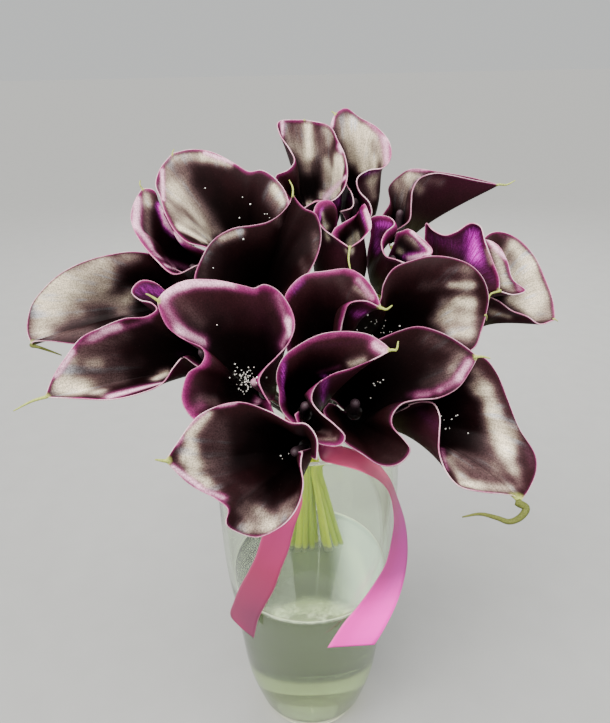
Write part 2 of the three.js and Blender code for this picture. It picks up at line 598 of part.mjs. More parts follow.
function tailGeometry(edges) {
  const rows = edges.map((pair) => pair.map(([x, y, z]) => new THREE.Vector3(x, y, z)));
  return sheetGeometry(rows, RIBBON_THICKNESS);
}
addPiece("ribbon_tail_right", tailGeometry(TAIL_RIGHT), SATIN);
addPiece("ribbon_tail_left", tailGeometry(TAIL_LEFT), SATIN);

export default bouquet;
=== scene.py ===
"""A calla lily bouquet, tied with a satin ribbon and standing in a clear glass vase."""

import math
import random

import bpy
from mathutils import Matrix, Vector, noise
from mathutils.bvhtree import BVHTree


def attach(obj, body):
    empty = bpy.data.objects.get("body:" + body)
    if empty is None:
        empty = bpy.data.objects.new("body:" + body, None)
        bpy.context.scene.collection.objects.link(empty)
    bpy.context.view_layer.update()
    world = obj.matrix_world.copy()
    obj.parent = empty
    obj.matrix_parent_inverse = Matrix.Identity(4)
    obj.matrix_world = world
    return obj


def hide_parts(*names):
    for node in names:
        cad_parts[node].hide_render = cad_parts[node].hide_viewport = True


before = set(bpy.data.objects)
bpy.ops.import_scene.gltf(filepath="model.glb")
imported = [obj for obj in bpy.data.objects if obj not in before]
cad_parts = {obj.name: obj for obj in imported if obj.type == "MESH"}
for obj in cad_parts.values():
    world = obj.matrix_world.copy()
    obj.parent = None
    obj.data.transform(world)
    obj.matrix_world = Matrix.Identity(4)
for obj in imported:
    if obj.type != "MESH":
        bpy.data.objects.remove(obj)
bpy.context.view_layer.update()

# Camera, floor and lights
# The bouquet is looked down on from close by, a little above its front, on a pale floor that runs
# out of sight, in broad soft daylight from above, with a soft lamp at each side and one behind.
MM = 0.001
PHOTO_WIDTH, PHOTO_HEIGHT = 610, 723
FOCAL = 611  # in pixels of the photograph
CAMERA_PLACE = Vector((0, -0.335, 0.460))
PITCH = math.radians(26)
ROLL = math.radians(1.2)
SENSOR = 36  # in millimetres
LAMPS = [  # name, place, target, size, watts, colour
    ("lamp_left", (-1.1, -0.7, 1.0), (0, 0, 0.3), 0.6, 12, (1.0, 0.98, 0.96)),
    ("lamp_right", (1.1, -0.4, 0.8), (0, 0, 0.3), 0.5, 9, (0.97, 0.98, 1.0)),
    ("lamp_back", (0.1, 1.3, 1.05), (0, 0, 0.25), 1.0, 20, (1.0, 0.99, 0.97)),
]

bpy.ops.object.select_all(action="DESELECT")
camera_turn = Matrix.Rotation(math.radians(90) - PITCH, 3, "X") @ Matrix.Rotation(-ROLL, 3, "Z")
bpy.ops.object.camera_add(location=CAMERA_PLACE, rotation=camera_turn.to_euler())
camera = bpy.context.object
camera.data.lens = SENSOR * FOCAL / PHOTO_HEIGHT
camera.data.sensor_width = SENSOR
bpy.context.scene.camera = camera

for name, place, target, size, watts, colour in LAMPS:
    bpy.ops.object.light_add(type="AREA", location=place)
    lamp = bpy.context.object
    lamp.name = name
    lamp.data.size = size
    lamp.data.energy = watts
    lamp.data.color = colour
    lamp.rotation_euler = (Vector(target) - Vector(place)).to_track_quat("-Z", "Y").to_euler()
bpy.ops.object.light_add(type="SUN", location=(-0.5, -0.8, 1.8))
daylight = bpy.context.object
daylight.name = "daylight"
daylight.data.energy = 7.0
daylight.data.angle = math.radians(50)
daylight.data.color = (1.0, 0.985, 0.96)
daylight.rotation_euler = Vector((0.25, 0.45, -1.0)).to_track_quat("-Z", "Y").to_euler()

studio = bpy.data.worlds.new("studio")
studio.use_nodes = True
sky = studio.node_tree.nodes["Background"]
sky.inputs["Color"].default_value = (0.98, 1.0, 0.99, 1)
sky.inputs["Strength"].default_value = 0.68
bpy.context.scene.world = studio


class Value:
    """A socket of a material's node tree. Python's operators on it add Math nodes."""

    def __init__(self, finish, socket):
        self.finish = finish
        self.socket = socket

    def maths(self, operation, *values):
        return self.finish.node("Math", {"operation": operation}, dict(enumerate(values)))

    def __add__(self, other):
        return self.maths("ADD", self, other)

    def __sub__(self, other):
        return self.maths("SUBTRACT", self, other)

    def __mul__(self, other):
        return self.maths("MULTIPLY", self, other)

    def __pow__(self, other):
        return self.maths("POWER", self, other)

    def __rsub__(self, other):
        return self.maths("SUBTRACT", other, self)

    __radd__ = __add__
    __rmul__ = __mul__

    def ramp(self, low, high):
        """0 up to low, 1 from high, and smooth between."""
        settings = {"interpolation_type": "SMOOTHSTEP", "clamp": True}
        return self.finish.node("MapRange", settings, {"Value": self, "From Min": low, "From Max": high})

    def of(self, name):
        """Another output of the same node."""
        return Value(self.finish, self.socket.node.outputs[name])


class Finish:
    """A node material round one Principled shader."""

    def __init__(self, name):
        self.material = bpy.data.materials.new(name)
        self.material.use_nodes = True
        self.tree = self.material.node_tree
        self.shader = self.tree.nodes["Principled BSDF"]

    def join(self, socket, value):
        """Links a value to a socket, or sets a number or a colour on it."""
        if isinstance(value, Value):
            self.tree.links.new(value.socket, socket)
        elif isinstance(value, tuple) and len(value) == 3 and socket.type == "RGBA":
            socket.default_value = (*value, 1)
        else:
            socket.default_value = value

    def node(self, kind, settings, values):
        """Adds a node: its settings first, then its sockets' values or links. Gives its first output."""
        node = self.tree.nodes.new("ShaderNode" + kind)
        for name, value in settings.items():
            if name == "stops":
                stops = node.color_ramp.elements
                for stop, (position, colour) in zip((stops[0], stops[1]), (value[0], value[-1])):
                    stop.position = position
                    stop.color = (*colour, 1)
                for position, colour in value[1:-1]:
                    stops.new(position).color = (*colour, 1)
            else:
                setattr(node, name, value)
        for name, value in values.items():
            self.join(node.inputs[name], value)
        return Value(self, next(socket for socket in node.outputs if socket.enabled))

    def mix(self, factor, first, second):
        """The first colour, turning to the second as the factor goes from 0 to 1."""
        values = {0: factor, 6: first, 7: second}
        return self.node("Mix", {"data_type": "RGBA", "clamp_factor": True}, values)

    def bump(self, height, strength, distance):
        """The shader's normal on a surface with this height."""
        values = {"Height": height, "Strength": strength, "Distance": distance}
        return self.node("Bump", {}, values)

    def set(self, **values):
        """Sets or links the shader's sockets. An underscore stands for a space."""
        for name, value in values.items():
            self.join(self.shader.inputs[name.replace("_", " ")], value)


floor_finish = Finish("pale_floor")
spot = floor_finish.node("NewGeometry", {}, {}).of("Position")
speckle = floor_finish.node("TexNoise", {}, {"Vector": spot, "Scale": 35, "Detail": 4})
floor_colour = floor_finish.mix(speckle, (0.235, 0.235, 0.228), (0.265, 0.265, 0.258))
floor_finish.set(Base_Color=floor_colour, Roughness=0.75)
bpy.ops.mesh.primitive_plane_add(size=60)
floor = bpy.context.object
floor.name = "floor"
floor.data.materials.append(floor_finish.material)

# Spathes
# Each calla's spathe is one thick, silky petal, rolled into a throat at its foot and spreading to a
# waved rim, whose tip is drawn out into a curled green tail. Its margins overlap where it is rolled.
TIE_HEIGHT = 255
LEAN = math.radians(26)
SPATHE_THICKNESS = 0.6
THROAT_RADIUS = 5.0
WRAP_STEP = 0.8  # how far one margin lies outside the throat's radius, and the other inside it
MOST_WRAP = math.radians(215)  # to either side of the tip
EVEN_SHARE = 0.5  # how far the ribs are spaced evenly round the foot, rather than as the rim stands
THROAT_RISE = 0.45  # how far up the axis a rib runs, as a share of its height
LEAST_HEIGHT = 20
THROAT_BELLY = 0.14  # how far a rib swells outwards, as a share of its length
LIP_REACH = 0.27  # how much of a rib flares at the rim
LIP_RISE = 0.47
FLARE_START = 12
RIM_STEP = 1.7
WALL_STEPS = 30
RIM_CROWDING = 1.4  # above 1, the steps up a rib are closer together at the rim
TAIL_POINT = 0.3
TAIL_ROOT = 2  # how deep the tail is set in the tip
TAIL_STEP = 0.8
TAIL_SIDES = 12
LIP_SHARE = 0.6  # how far the tail sets out along the tip, rather than straight to its curl
DARK_TAILS = (12, 18)
GREEN_REACH = 4.5  # of a tail's green into the petal, in tail radii

# For each bloom, in millimetres as [right, up, out] from the tie in the leaning frame: the throat's foot
# and what it aims at, the rim from the inner margin through the tip to the outer margin, which of its
# points is the tip, and the tail beyond it. A bloom that swells more than THROAT_BELLY gives its belly.
BLOOMS = [
    {
        "foot": [-39, 101, -21], "aim": [-41, 121, 13], "tip": 9,
        "tail": [[-81, 175, 0]],
        "rim": [
            [-38, 102, 17], [-49, 104, 23], [-59, 107, 26], [-69, 110, 27], [-77, 118, 24], [-83, 129, 21],
            [-87, 140, 15], [-91, 150, 10], [-89, 162, 4], [-82, 172, 1], [-70, 174, 2], [-56, 171, 5],
            [-41, 162, 9], [-32, 156, 12], [-24, 156, 14], [-15, 149, 17], [-9, 139, 20], [-8, 128, 22],
            [-13, 117, 22], [-23, 109, 20], [-34, 104, 15],
        ],
    },
    {
        "foot": [-55, 87, -9], "aim": [-73, 101, 11], "tip": 7, "belly": 0.24,
        "tail": [[-99, 148, 16], [-99, 151, 15]],
        "rim": [
            [-54, 98, 23], [-62, 95, 33], [-74, 89, 40], [-85, 98, 38], [-96, 111, 33], [-102, 125, 27],
            [-101, 137, 21], [-98, 146, 15], [-91, 145, 15], [-88, 137, 13], [-83, 129, 15], [-77, 118, 18],
            [-70, 111, 19], [-62, 107, 20], [-52, 103, 19],
        ],
    },
    {
        "foot": [-28, 72, 1], "aim": [-26, 88, 37], "tip": 12,
        "tail": [[-5, 138, 38], [-7, 143, 36]],
        "rim": [
            [-24, 63, 39], [-36, 62, 45], [-50, 66, 48], [-59, 75, 49], [-61, 85, 49], [-57, 97, 47],
            [-51, 107, 45], [-40, 114, 43], [-29, 116, 41], [-20, 118, 40], [-13, 122, 40], [-7, 129, 39],
            [-5, 134, 39], [-2, 130, 37], [2, 126, 37], [8, 123, 37], [11, 113, 37], [10, 103, 37],
            [5, 91, 39], [-2, 81, 41], [-10, 73, 41], [-19, 66, 37],
        ],
    },
    {
        "foot": [12, 126, -27], "aim": [9, 136, 7], "tip": 10, "belly": 0.35,
        "tail": [[3, 198, -19]],
        "rim": [
            [0, 130, 11], [-5, 133, 11], [-10, 141, 11], [-15, 149, 11], [-16, 153, 12], [-8, 156, 14],
            [-4, 162, 12], [-7, 171, 8], [-13, 182, 3], [-14, 192, -2], [3, 195, -7], [19, 189, -3],
            [24, 178, 1], [28, 167, 5], [29, 153, 10], [26, 143, 13], [19, 136, 15], [9, 135, 17],
            [0, 131, 15],
        ],
    },
    {
        "foot": [37, 123, -27], "aim": [34, 152, -7], "tip": 7, "belly": 0.35,
        "tail": [[21, 202, -12]],
        "rim": [
            [24, 132, 3], [32, 134, 7], [32, 141, 7], [28, 150, 3], [24, 166, -9], [21, 180, -12],
            [20, 192, -12], [23, 200, -11], [30, 203, -10], [39, 196, -8], [50, 188, -5], [57, 176, 1],
            [57, 165, 5], [52, 158, 8], [42, 156, 9], [35, 151, 9], [36, 144, 8], [43, 136, 6], [44, 129, 3],
            [37, 123, 0],
        ],
    },
    {
        "foot": [65, 115, -25], "aim": [64, 140, -4], "tip": 9,
        "tail": [[134, 150, -8], [140, 153, -9]],
        "rim": [
            [58, 119, -1], [63, 121, 7], [67, 124, 10], [68, 134, 12], [69, 142, 12], [74, 150, 10],
            [84, 154, 7], [96, 154, 2], [112, 152, -3], [129, 150, -7], [112, 157, -13], [93, 162, -17],
            [74, 165, -19], [65, 160, -18], [58, 152, -16], [58, 141, -13], [53, 133, -12], [50, 125, -13],
        ],
    },
    {
        "foot": [23, 77, -4], "aim": [24, 108, 16], "tip": 8, "belly": 0.45,
        "tail": [[26, 95, 44], [27, 87, 46]],
        "rim": [
            [17, 113, 25], [20, 118, 21], [26, 122, 18], [34, 127, 17], [38, 133, 17], [40, 127, 23],
            [41, 116, 29], [35, 108, 35], [27, 102, 41], [19, 109, 36], [12, 116, 30], [7, 126, 24],
            [10, 134, 19], [17, 136, 16], [21, 132, 14], [21, 129, 12],
        ],
    },
    {
        "foot": [51, 83, -9], "aim": [59, 109, 13], "tip": 6, "belly": 0.4,
        "tail": [[65, 91, 37], [67, 93, 37]],
        "rim": [
            [59, 117, 7], [62, 117, 12], [65, 117, 17], [71, 111, 23], [77, 101, 29], [70, 96, 31],
            [63, 92, 35], [55, 96, 32], [49, 99, 29], [47, 107, 26], [50, 114, 23], [56, 120, 20],
            [53, 125, 17], [44, 126, 15], [40, 123, 11],
        ],
    },
    {
        "foot": [88, 68, -11], "aim": [106, 109, 5], "tip": 8,
        "tail": [[114, 76, 18], [112, 70, 19]],
        "rim": [
            [95, 100, -5], [105, 109, -6], [116, 114, -5], [125, 110, -2], [130, 99, 2], [132, 86, 7],
            [139, 79, 9], [130, 76, 13], [120, 78, 17], [120, 86, 17], [116, 97, 17], [112, 108, 17],
            [109, 118, 17], [103, 120, 17], [94, 115, 17], [87, 113, 17], [80, 117, 15], [77, 122, 11],
            [77, 113, 5],
        ],
    },
    {
        "foot": [116, 60, -27], "aim": [123, 85, -11], "tip": 5,
        "tail": [[164, 60, -4]],
        "rim": [
            [118, 77, -1], [125, 73, 1], [132, 67, 3], [142, 63, 3], [150, 58, 2], [162, 61, -3],
            [163, 75, -9], [159, 90, -12], [153, 104, -13], [143, 115, -13], [132, 120, -12], [123, 119, -11],
            [115, 110, -11], [108, 95, -11], [112, 83, -9],
        ],
    },
    {
        "foot": [39, 35, 9], "aim": [47, 50, 35], "tip": 14,
        "tail": [[105, 59, 39]],
        "rim": [
            [28, 49, 33], [23, 55, 36], [24, 61, 41], [30, 65, 46], [37, 66, 50], [42, 70, 53], [44, 79, 54],
            [50, 88, 53], [60, 92, 53], [71, 94, 55], [83, 92, 57], [92, 88, 57], [99, 81, 55], [103, 71, 51],
            [102, 61, 49], [98, 52, 53], [93, 43, 57], [82, 38, 59], [68, 36, 57], [56, 40, 51], [47, 44, 45],
        ],
    },
    {
        "foot": [-79, 75, 7], "aim": [-86, 77, 29], "tip": 6,
        "tail": [[-154, 49, 38], [-149, 47, 36], [-142, 44, 34]],
        "rim": [
            [-85, 61, 29], [-96, 54, 33], [-114, 51, 37], [-131, 50, 40], [-146, 52, 41], [-156, 52, 40],
            [-159, 50, 35], [-163, 59, 32], [-160, 73, 33], [-150, 84, 36], [-139, 92, 38], [-126, 98, 38],
            [-112, 102, 36], [-101, 104, 33], [-90, 103, 29], [-83, 98, 22], [-71, 91, 18], [-69, 82, 21],
            [-80, 72, 25],
        ],
    },
    {
        "foot": [-55, 35, 23], "aim": [-58, 44, 45], "tip": 8,
        "tail": [[-148, 19, 61], [-158, 14, 61]],
        "rim": [
            [-58, 34, 48], [-63, 38, 51], [-67, 41, 55], [-72, 36, 56], [-78, 27, 59], [-89, 22, 61],
            [-105, 19, 62], [-124, 20, 62], [-141, 21, 61], [-137, 31, 61], [-129, 43, 61], [-121, 53, 60],
            [-111, 58, 59], [-98, 63, 58], [-86, 64, 57], [-81, 68, 55], [-85, 72, 52], [-92, 74, 49],
            [-97, 79, 47], [-92, 85, 46], [-84, 84, 44], [-76, 76, 43], [-66, 64, 42], [-58, 53, 40],
            [-50, 48, 37],
        ],
    },
    {
        "foot": [-23, 20, 35], "aim": [-30, 30, 69], "tip": 14, "belly": 0.2,
        "tail": [[-77, 72, 84], [-79, 73, 85]],
        "rim": [
            [-15, 7, 70], [-29, 7, 75], [-35, 5, 81], [-46, 5, 84], [-57, 10, 85], [-62, 18, 85],
            [-62, 24, 85], [-59, 33, 83], [-53, 37, 81], [-51, 42, 80], [-53, 46, 80], [-61, 50, 81],
            [-69, 56, 82], [-73, 65, 83], [-74, 70, 83], [-70, 75, 81], [-61, 80, 78], [-47, 81, 73],
            [-31, 78, 69], [-26, 77, 67], [-21, 79, 66], [-14, 76, 65], [-7, 66, 66], [-5, 57, 67],
            [-8, 48, 68], [-15, 40, 69], [-21, 34, 71], [-24, 28, 73], [-22, 22, 75], [-18, 15, 75],
        ],
    },
    {
        "foot": [14, 22, 13], "aim": [12, 44, 35], "tip": 5,
        "tail": [[42, 63, 80], [45, 65, 80]],
        "rim": [
            [17, 42, 53], [19, 50, 60], [21, 60, 67], [24, 67, 74], [32, 68, 76], [40, 64, 77], [38, 72, 72],
            [33, 81, 66], [25, 87, 60], [12, 87, 54], [1, 86, 50], [-8, 79, 47], [-12, 70, 45], [-12, 60, 45],
            [-11, 50, 44], [-9, 41, 44], [-3, 36, 45], [6, 35, 46],
        ],
    },
    {
        "foot": [-1, 7, 39], "aim": [0, 16, 71], "tip": 13, "belly": 0.22,
        "tail": [[43, 42, 104], [44, 46, 104]],
        "rim": [
            [-6, 10, 75], [-3, 3, 80], [4, -3, 84], [11, -5, 87], [17, -4, 90], [19, 0, 91], [14, 6, 91],
            [7, 12, 90], [3, 18, 90], [5, 25, 91], [13, 31, 94], [23, 34, 97], [33, 38, 101], [41, 42, 102],
            [37, 46, 99], [31, 50, 95], [20, 52, 90], [8, 51, 85], [-3, 46, 81], [-11, 40, 78], [-15, 31, 75],
            [-14, 21, 71], [-14, 15, 69], [-12, 10, 67], [-6, 3, 65],
        ],
    },
    {
        "foot": [27, 8, 45], "aim": [26, 15, 69], "tip": 17, "belly": 0.22,
        "tail": [[87, 38, 91], [91, 37, 91]],
        "rim": [
            [12, 15, 67], [9, 11, 72], [14, 3, 77], [19, -4, 80], [28, -10, 84], [36, -15, 87],
            [43, -15, 90], [48, -12, 91], [51, -7, 91], [48, -2, 90], [43, 4, 88], [43, 9, 86], [48, 15, 85],
            [56, 17, 85], [67, 18, 86], [76, 23, 88], [82, 32, 90], [85, 38, 91], [81, 42, 89], [73, 48, 87],
            [65, 52, 85], [57, 54, 83], [48, 52, 80], [38, 48, 77], [24, 41, 73], [14, 32, 70], [11, 23, 66],
            [13, 17, 62],
        ],
    },
    {
        "foot": [48, 2, 35], "aim": [68, 16, 63], "tip": 10,
        "tail": [[106, -36, 94], [103, -40, 95], [97, -42, 96], [91, -40, 96], [83, -38, 96], [74, -39, 97]],
        "rim": [
            [61, 22, 61], [69, 30, 65], [82, 39, 69], [93, 38, 71], [100, 30, 71], [105, 16, 73],
            [110, 1, 75], [118, -13, 75], [117, -21, 79], [111, -29, 85], [103, -34, 93], [102, -31, 92],
            [97, -30, 91], [86, -29, 89], [75, -26, 89], [69, -19, 88], [66, -9, 86], [67, 0, 83],
            [68, 8, 80], [66, 14, 76], [61, 15, 70], [55, 13, 63],
        ],
    },
    {
        "foot": [0, -10, 55], "aim": [-10, -8, 93], "tip": 11,
        "tail": [[-68, -5, 118]],
        "rim": [
            [-2, -7, 89], [-3, -13, 94], [-2, -22, 97], [-5, -32, 99], [-12, -40, 101], [-24, -45, 103],
            [-34, -41, 107], [-38, -36, 111], [-37, -30, 110], [-43, -25, 109], [-54, -18, 111],
            [-64, -6, 116], [-58, 3, 114], [-49, 14, 109], [-32, 19, 102], [-18, 14, 97], [-7, 8, 95],
            [0, 7, 93], [5, 0, 92], [5, -11, 91],
        ],
    },
]


def lean(point):
    """From the leaning frame, [right, up, out] from the tie in millimetres, to metres in the part's frame."""
    right, up, out = point
    back = up * math.sin(LEAN) - out * math.cos(LEAN)
    height = TIE_HEIGHT + up * math.cos(LEAN) + out * math.sin(LEAN)
    return Vector((right, back, height)) * MM


def curve_point(points, t):
    """A point of the centripetal Catmull-Rom curve through the points, at t from 0 to 1."""
    last = len(points) - 1
    step = min(int(t * last), last - 1)
    w = t * last - step
    b, c = points[step], points[step + 1]
    a = points[step - 1] if step > 0 else 2 * b - c
    d = points[step + 2] if step + 2 <= last else 2 * c - b
    ab, bc, cd = (max(math.sqrt((q - p).length), 1e-4) for p, q in ((a, b), (b, c), (c, d)))
    slope_b = ((b - a) / ab - (c - a) / (ab + bc) + (c - b) / bc) * bc
    slope_c = ((c - b) / bc - (d - b) / (bc + cd) + (d - c) / cd) * bc
    cubic = 2 * b - 2 * c + slope_b + slope_c
    square = 3 * c - 3 * b - 2 * slope_b - slope_c
    return ((cubic * w + square) * w + slope_b) * w + b


def even_points(points, spacing, least=5):
    """Points along the curve, as far apart as the spacing or a little less or more."""
    fine = 12 * (len(points) - 1)
    dense = [curve_point(points, i / fine) for i in range(fine + 1)]
    along = [0.0]
    for p, q in zip(dense, dense[1:]):
        along.append(along[-1] + (q - p).length)
    count = max(least, round(along[-1] / spacing))
    found = []
    step = 0
    for i in range(count + 1):
        goal = along[-1] * i / count
        while step < fine - 1 and along[step + 1] < goal:
            step += 1
        share = (goal - along[step]) / max(along[step + 1] - along[step], 1e-9)
        found.append(dense[step].lerp(dense[step + 1], min(max(share, 0), 1)))
    return found


class Throat:
    """A bloom's foot and axis, two directions across it, and its rim."""

    def __init__(self, bloom):
        self.foot = lean(bloom["foot"])
        self.belly = bloom.get("belly", THROAT_BELLY)
        self.axis = (lean(bloom["aim"]) - self.foot).normalized()
        points = [lean(point) for point in bloom["rim"]]
        tip = bloom["tip"]
        out = points[tip] - self.foot
        self.to_tip = (out - self.axis * out.dot(self.axis)).normalized()
        self.side = self.axis.cross(self.to_tip)
        inner = even_points(points[: tip + 1], RIM_STEP * MM)
        outer = even_points(points[tip:], RIM_STEP * MM)
        self.tip_column = len(inner) - 1
        self.rim = inner + outer[1:]
        self.along = [i / self.tip_column - 1 for i in range(self.tip_column)]
        self.along += [i / (len(outer) - 1) for i in range(len(outer))]
        self.angles = self.foot_angles()

    def foot_angles(self):
        """How far round the throat each rim point stands from the tip, turning one way only."""
        angles = []
        for end in self.rim:
            out = end - self.foot
            angle = math.atan2(out.dot(self.side), out.dot(self.to_tip))
            if angles:
                angle += math.tau * round((angles[-1] - angle) / math.tau)
            angles.append(angle)
        turned = [angle - angles[self.tip_column] for angle in angles]
        for end, step in ((0, -1), (len(turned) - 1, 1)):
            most = max(-MOST_WRAP, min(MOST_WRAP, turned[end]))
            reached = 0
            for i in range(self.tip_column, end + step, step):
                reached = max(reached, min(1, turned[i] / most))
                turned[i] = most * (EVEN_SHARE * abs(self.along[i]) + (1 - EVEN_SHARE) * reached)
        return turned

    def ribs(self):
        """The spathe's middle surface, one curved rib from the foot to each point of the rim."""
        first, last = self.angles[0], self.angles[-1]
        ribs = []
        for end, angle in zip(self.rim, self.angles):
            outward = self.to_tip * math.cos(angle) + self.side * math.sin(angle)
            turn = 2 * (angle - first) / (last - first) - 1
            start = self.foot + outward * (THROAT_RADIUS + WRAP_STEP * turn) * MM
            reach = (end - start).length
            out = end - self.foot
            height = out.dot(self.axis)
            flare = out - self.axis * height
            weight = min(1, flare.length / (FLARE_START * MM))
            spread = (outward * (1 - weight) + flare.normalized() * weight).normalized()
            lip = (spread + self.axis * LIP_RISE).normalized()
            rise = THROAT_RISE * max(height, LEAST_HEIGHT * MM)
            low = start + self.axis * rise + outward * self.belly * reach
            high = end - lip * LIP_REACH * reach
            rib = []
            for v in range(WALL_STEPS + 1):
                t = 1 - (1 - v / WALL_STEPS) ** RIM_CROWDING
                s = 1 - t
                rib.append(s**3 * start + 3 * s * s * t * low + 3 * s * t * t * high + t**3 * end)
            ribs.append(rib)
        return ribs


def grid_object(name, rows):
    """A grid primitive whose vertices are moved to the rows of points."""
    count = len(rows[0])
    bpy.ops.object.select_all(action="DESELECT")
    bpy.ops.mesh.primitive_grid_add(x_subdivisions=count - 1, y_subdivisions=len(rows) - 1, size=1)
    made = bpy.context.object
    made.name = name
    for vertex, point in zip(made.data.vertices, (point for row in rows for point in row)):
        vertex.co = point
    bpy.ops.object.shade_smooth()
    return made


def apply_modifier(made, kind, **settings):
    bpy.ops.object.select_all(action="DESELECT")
    made.select_set(True)
    bpy.context.view_layer.objects.active = made
    modifier = made.modifiers.new(kind.lower(), kind)
    for name, value in settings.items():
        setattr(modifier, name, value)
    bpy.ops.object.modifier_apply(modifier=modifier.name)


def joined(pieces):
    """Joins the pieces into the first one, which stays selected and active."""
    bpy.ops.object.select_all(action="DESELECT")
    for piece in pieces:
        piece.select_set(True)
    bpy.context.view_layer.objects.active = pieces[0]
    bpy.ops.object.join()
    return pieces[0]


def tube_rows(centres, radii, sides):
    """Rows of points round a line of centres, for a tube that is closed round and open at its ends."""
    rows = []
    across = Vector((1, 0, 0))
    for i, (centre, radius) in enumerate(zip(centres, radii)):
        ahead = centres[min(i + 1, len(centres) - 1)] - centres[max(i - 1, 0)]
        ahead.normalize()
        across = (across - ahead * across.dot(ahead)).normalized()
        other = ahead.cross(across)
        turns = [math.tau * s / sides for s in range(sides + 1)]
        rows.append([centre + (across * math.cos(a) + other * math.sin(a)) * radius for a in turns])
    return rows


def tube_object(name, centres, radii, sides):
    """A round tube along a line of centres, with its seam and ends closed."""
    made = grid_object(name, tube_rows(centres, radii, sides))
    bpy.ops.object.mode_set(mode="EDIT")
    bpy.ops.mesh.select_all(action="SELECT")
    bpy.ops.mesh.remove_doubles(threshold=1e-7)
    bpy.ops.mesh.select_all(action="DESELECT")
    bpy.ops.mesh.select_non_manifold()
    bpy.ops.mesh.edge_face_add()
    bpy.ops.mesh.select_all(action="SELECT")
    bpy.ops.mesh.normals_make_consistent(inside=False)
    bpy.ops.object.mode_set(mode="OBJECT")
    return made


def number(index):
    return f"{index + 1:02d}"


def set_attribute(made, name, values):
    """Gives each vertex a value, or all of them the same one."""
    if isinstance(values, float):
        values = [values] * len(made.data.vertices)
    made.data.attributes.new(name, "FLOAT", "POINT").data.foreach_set("value", values)


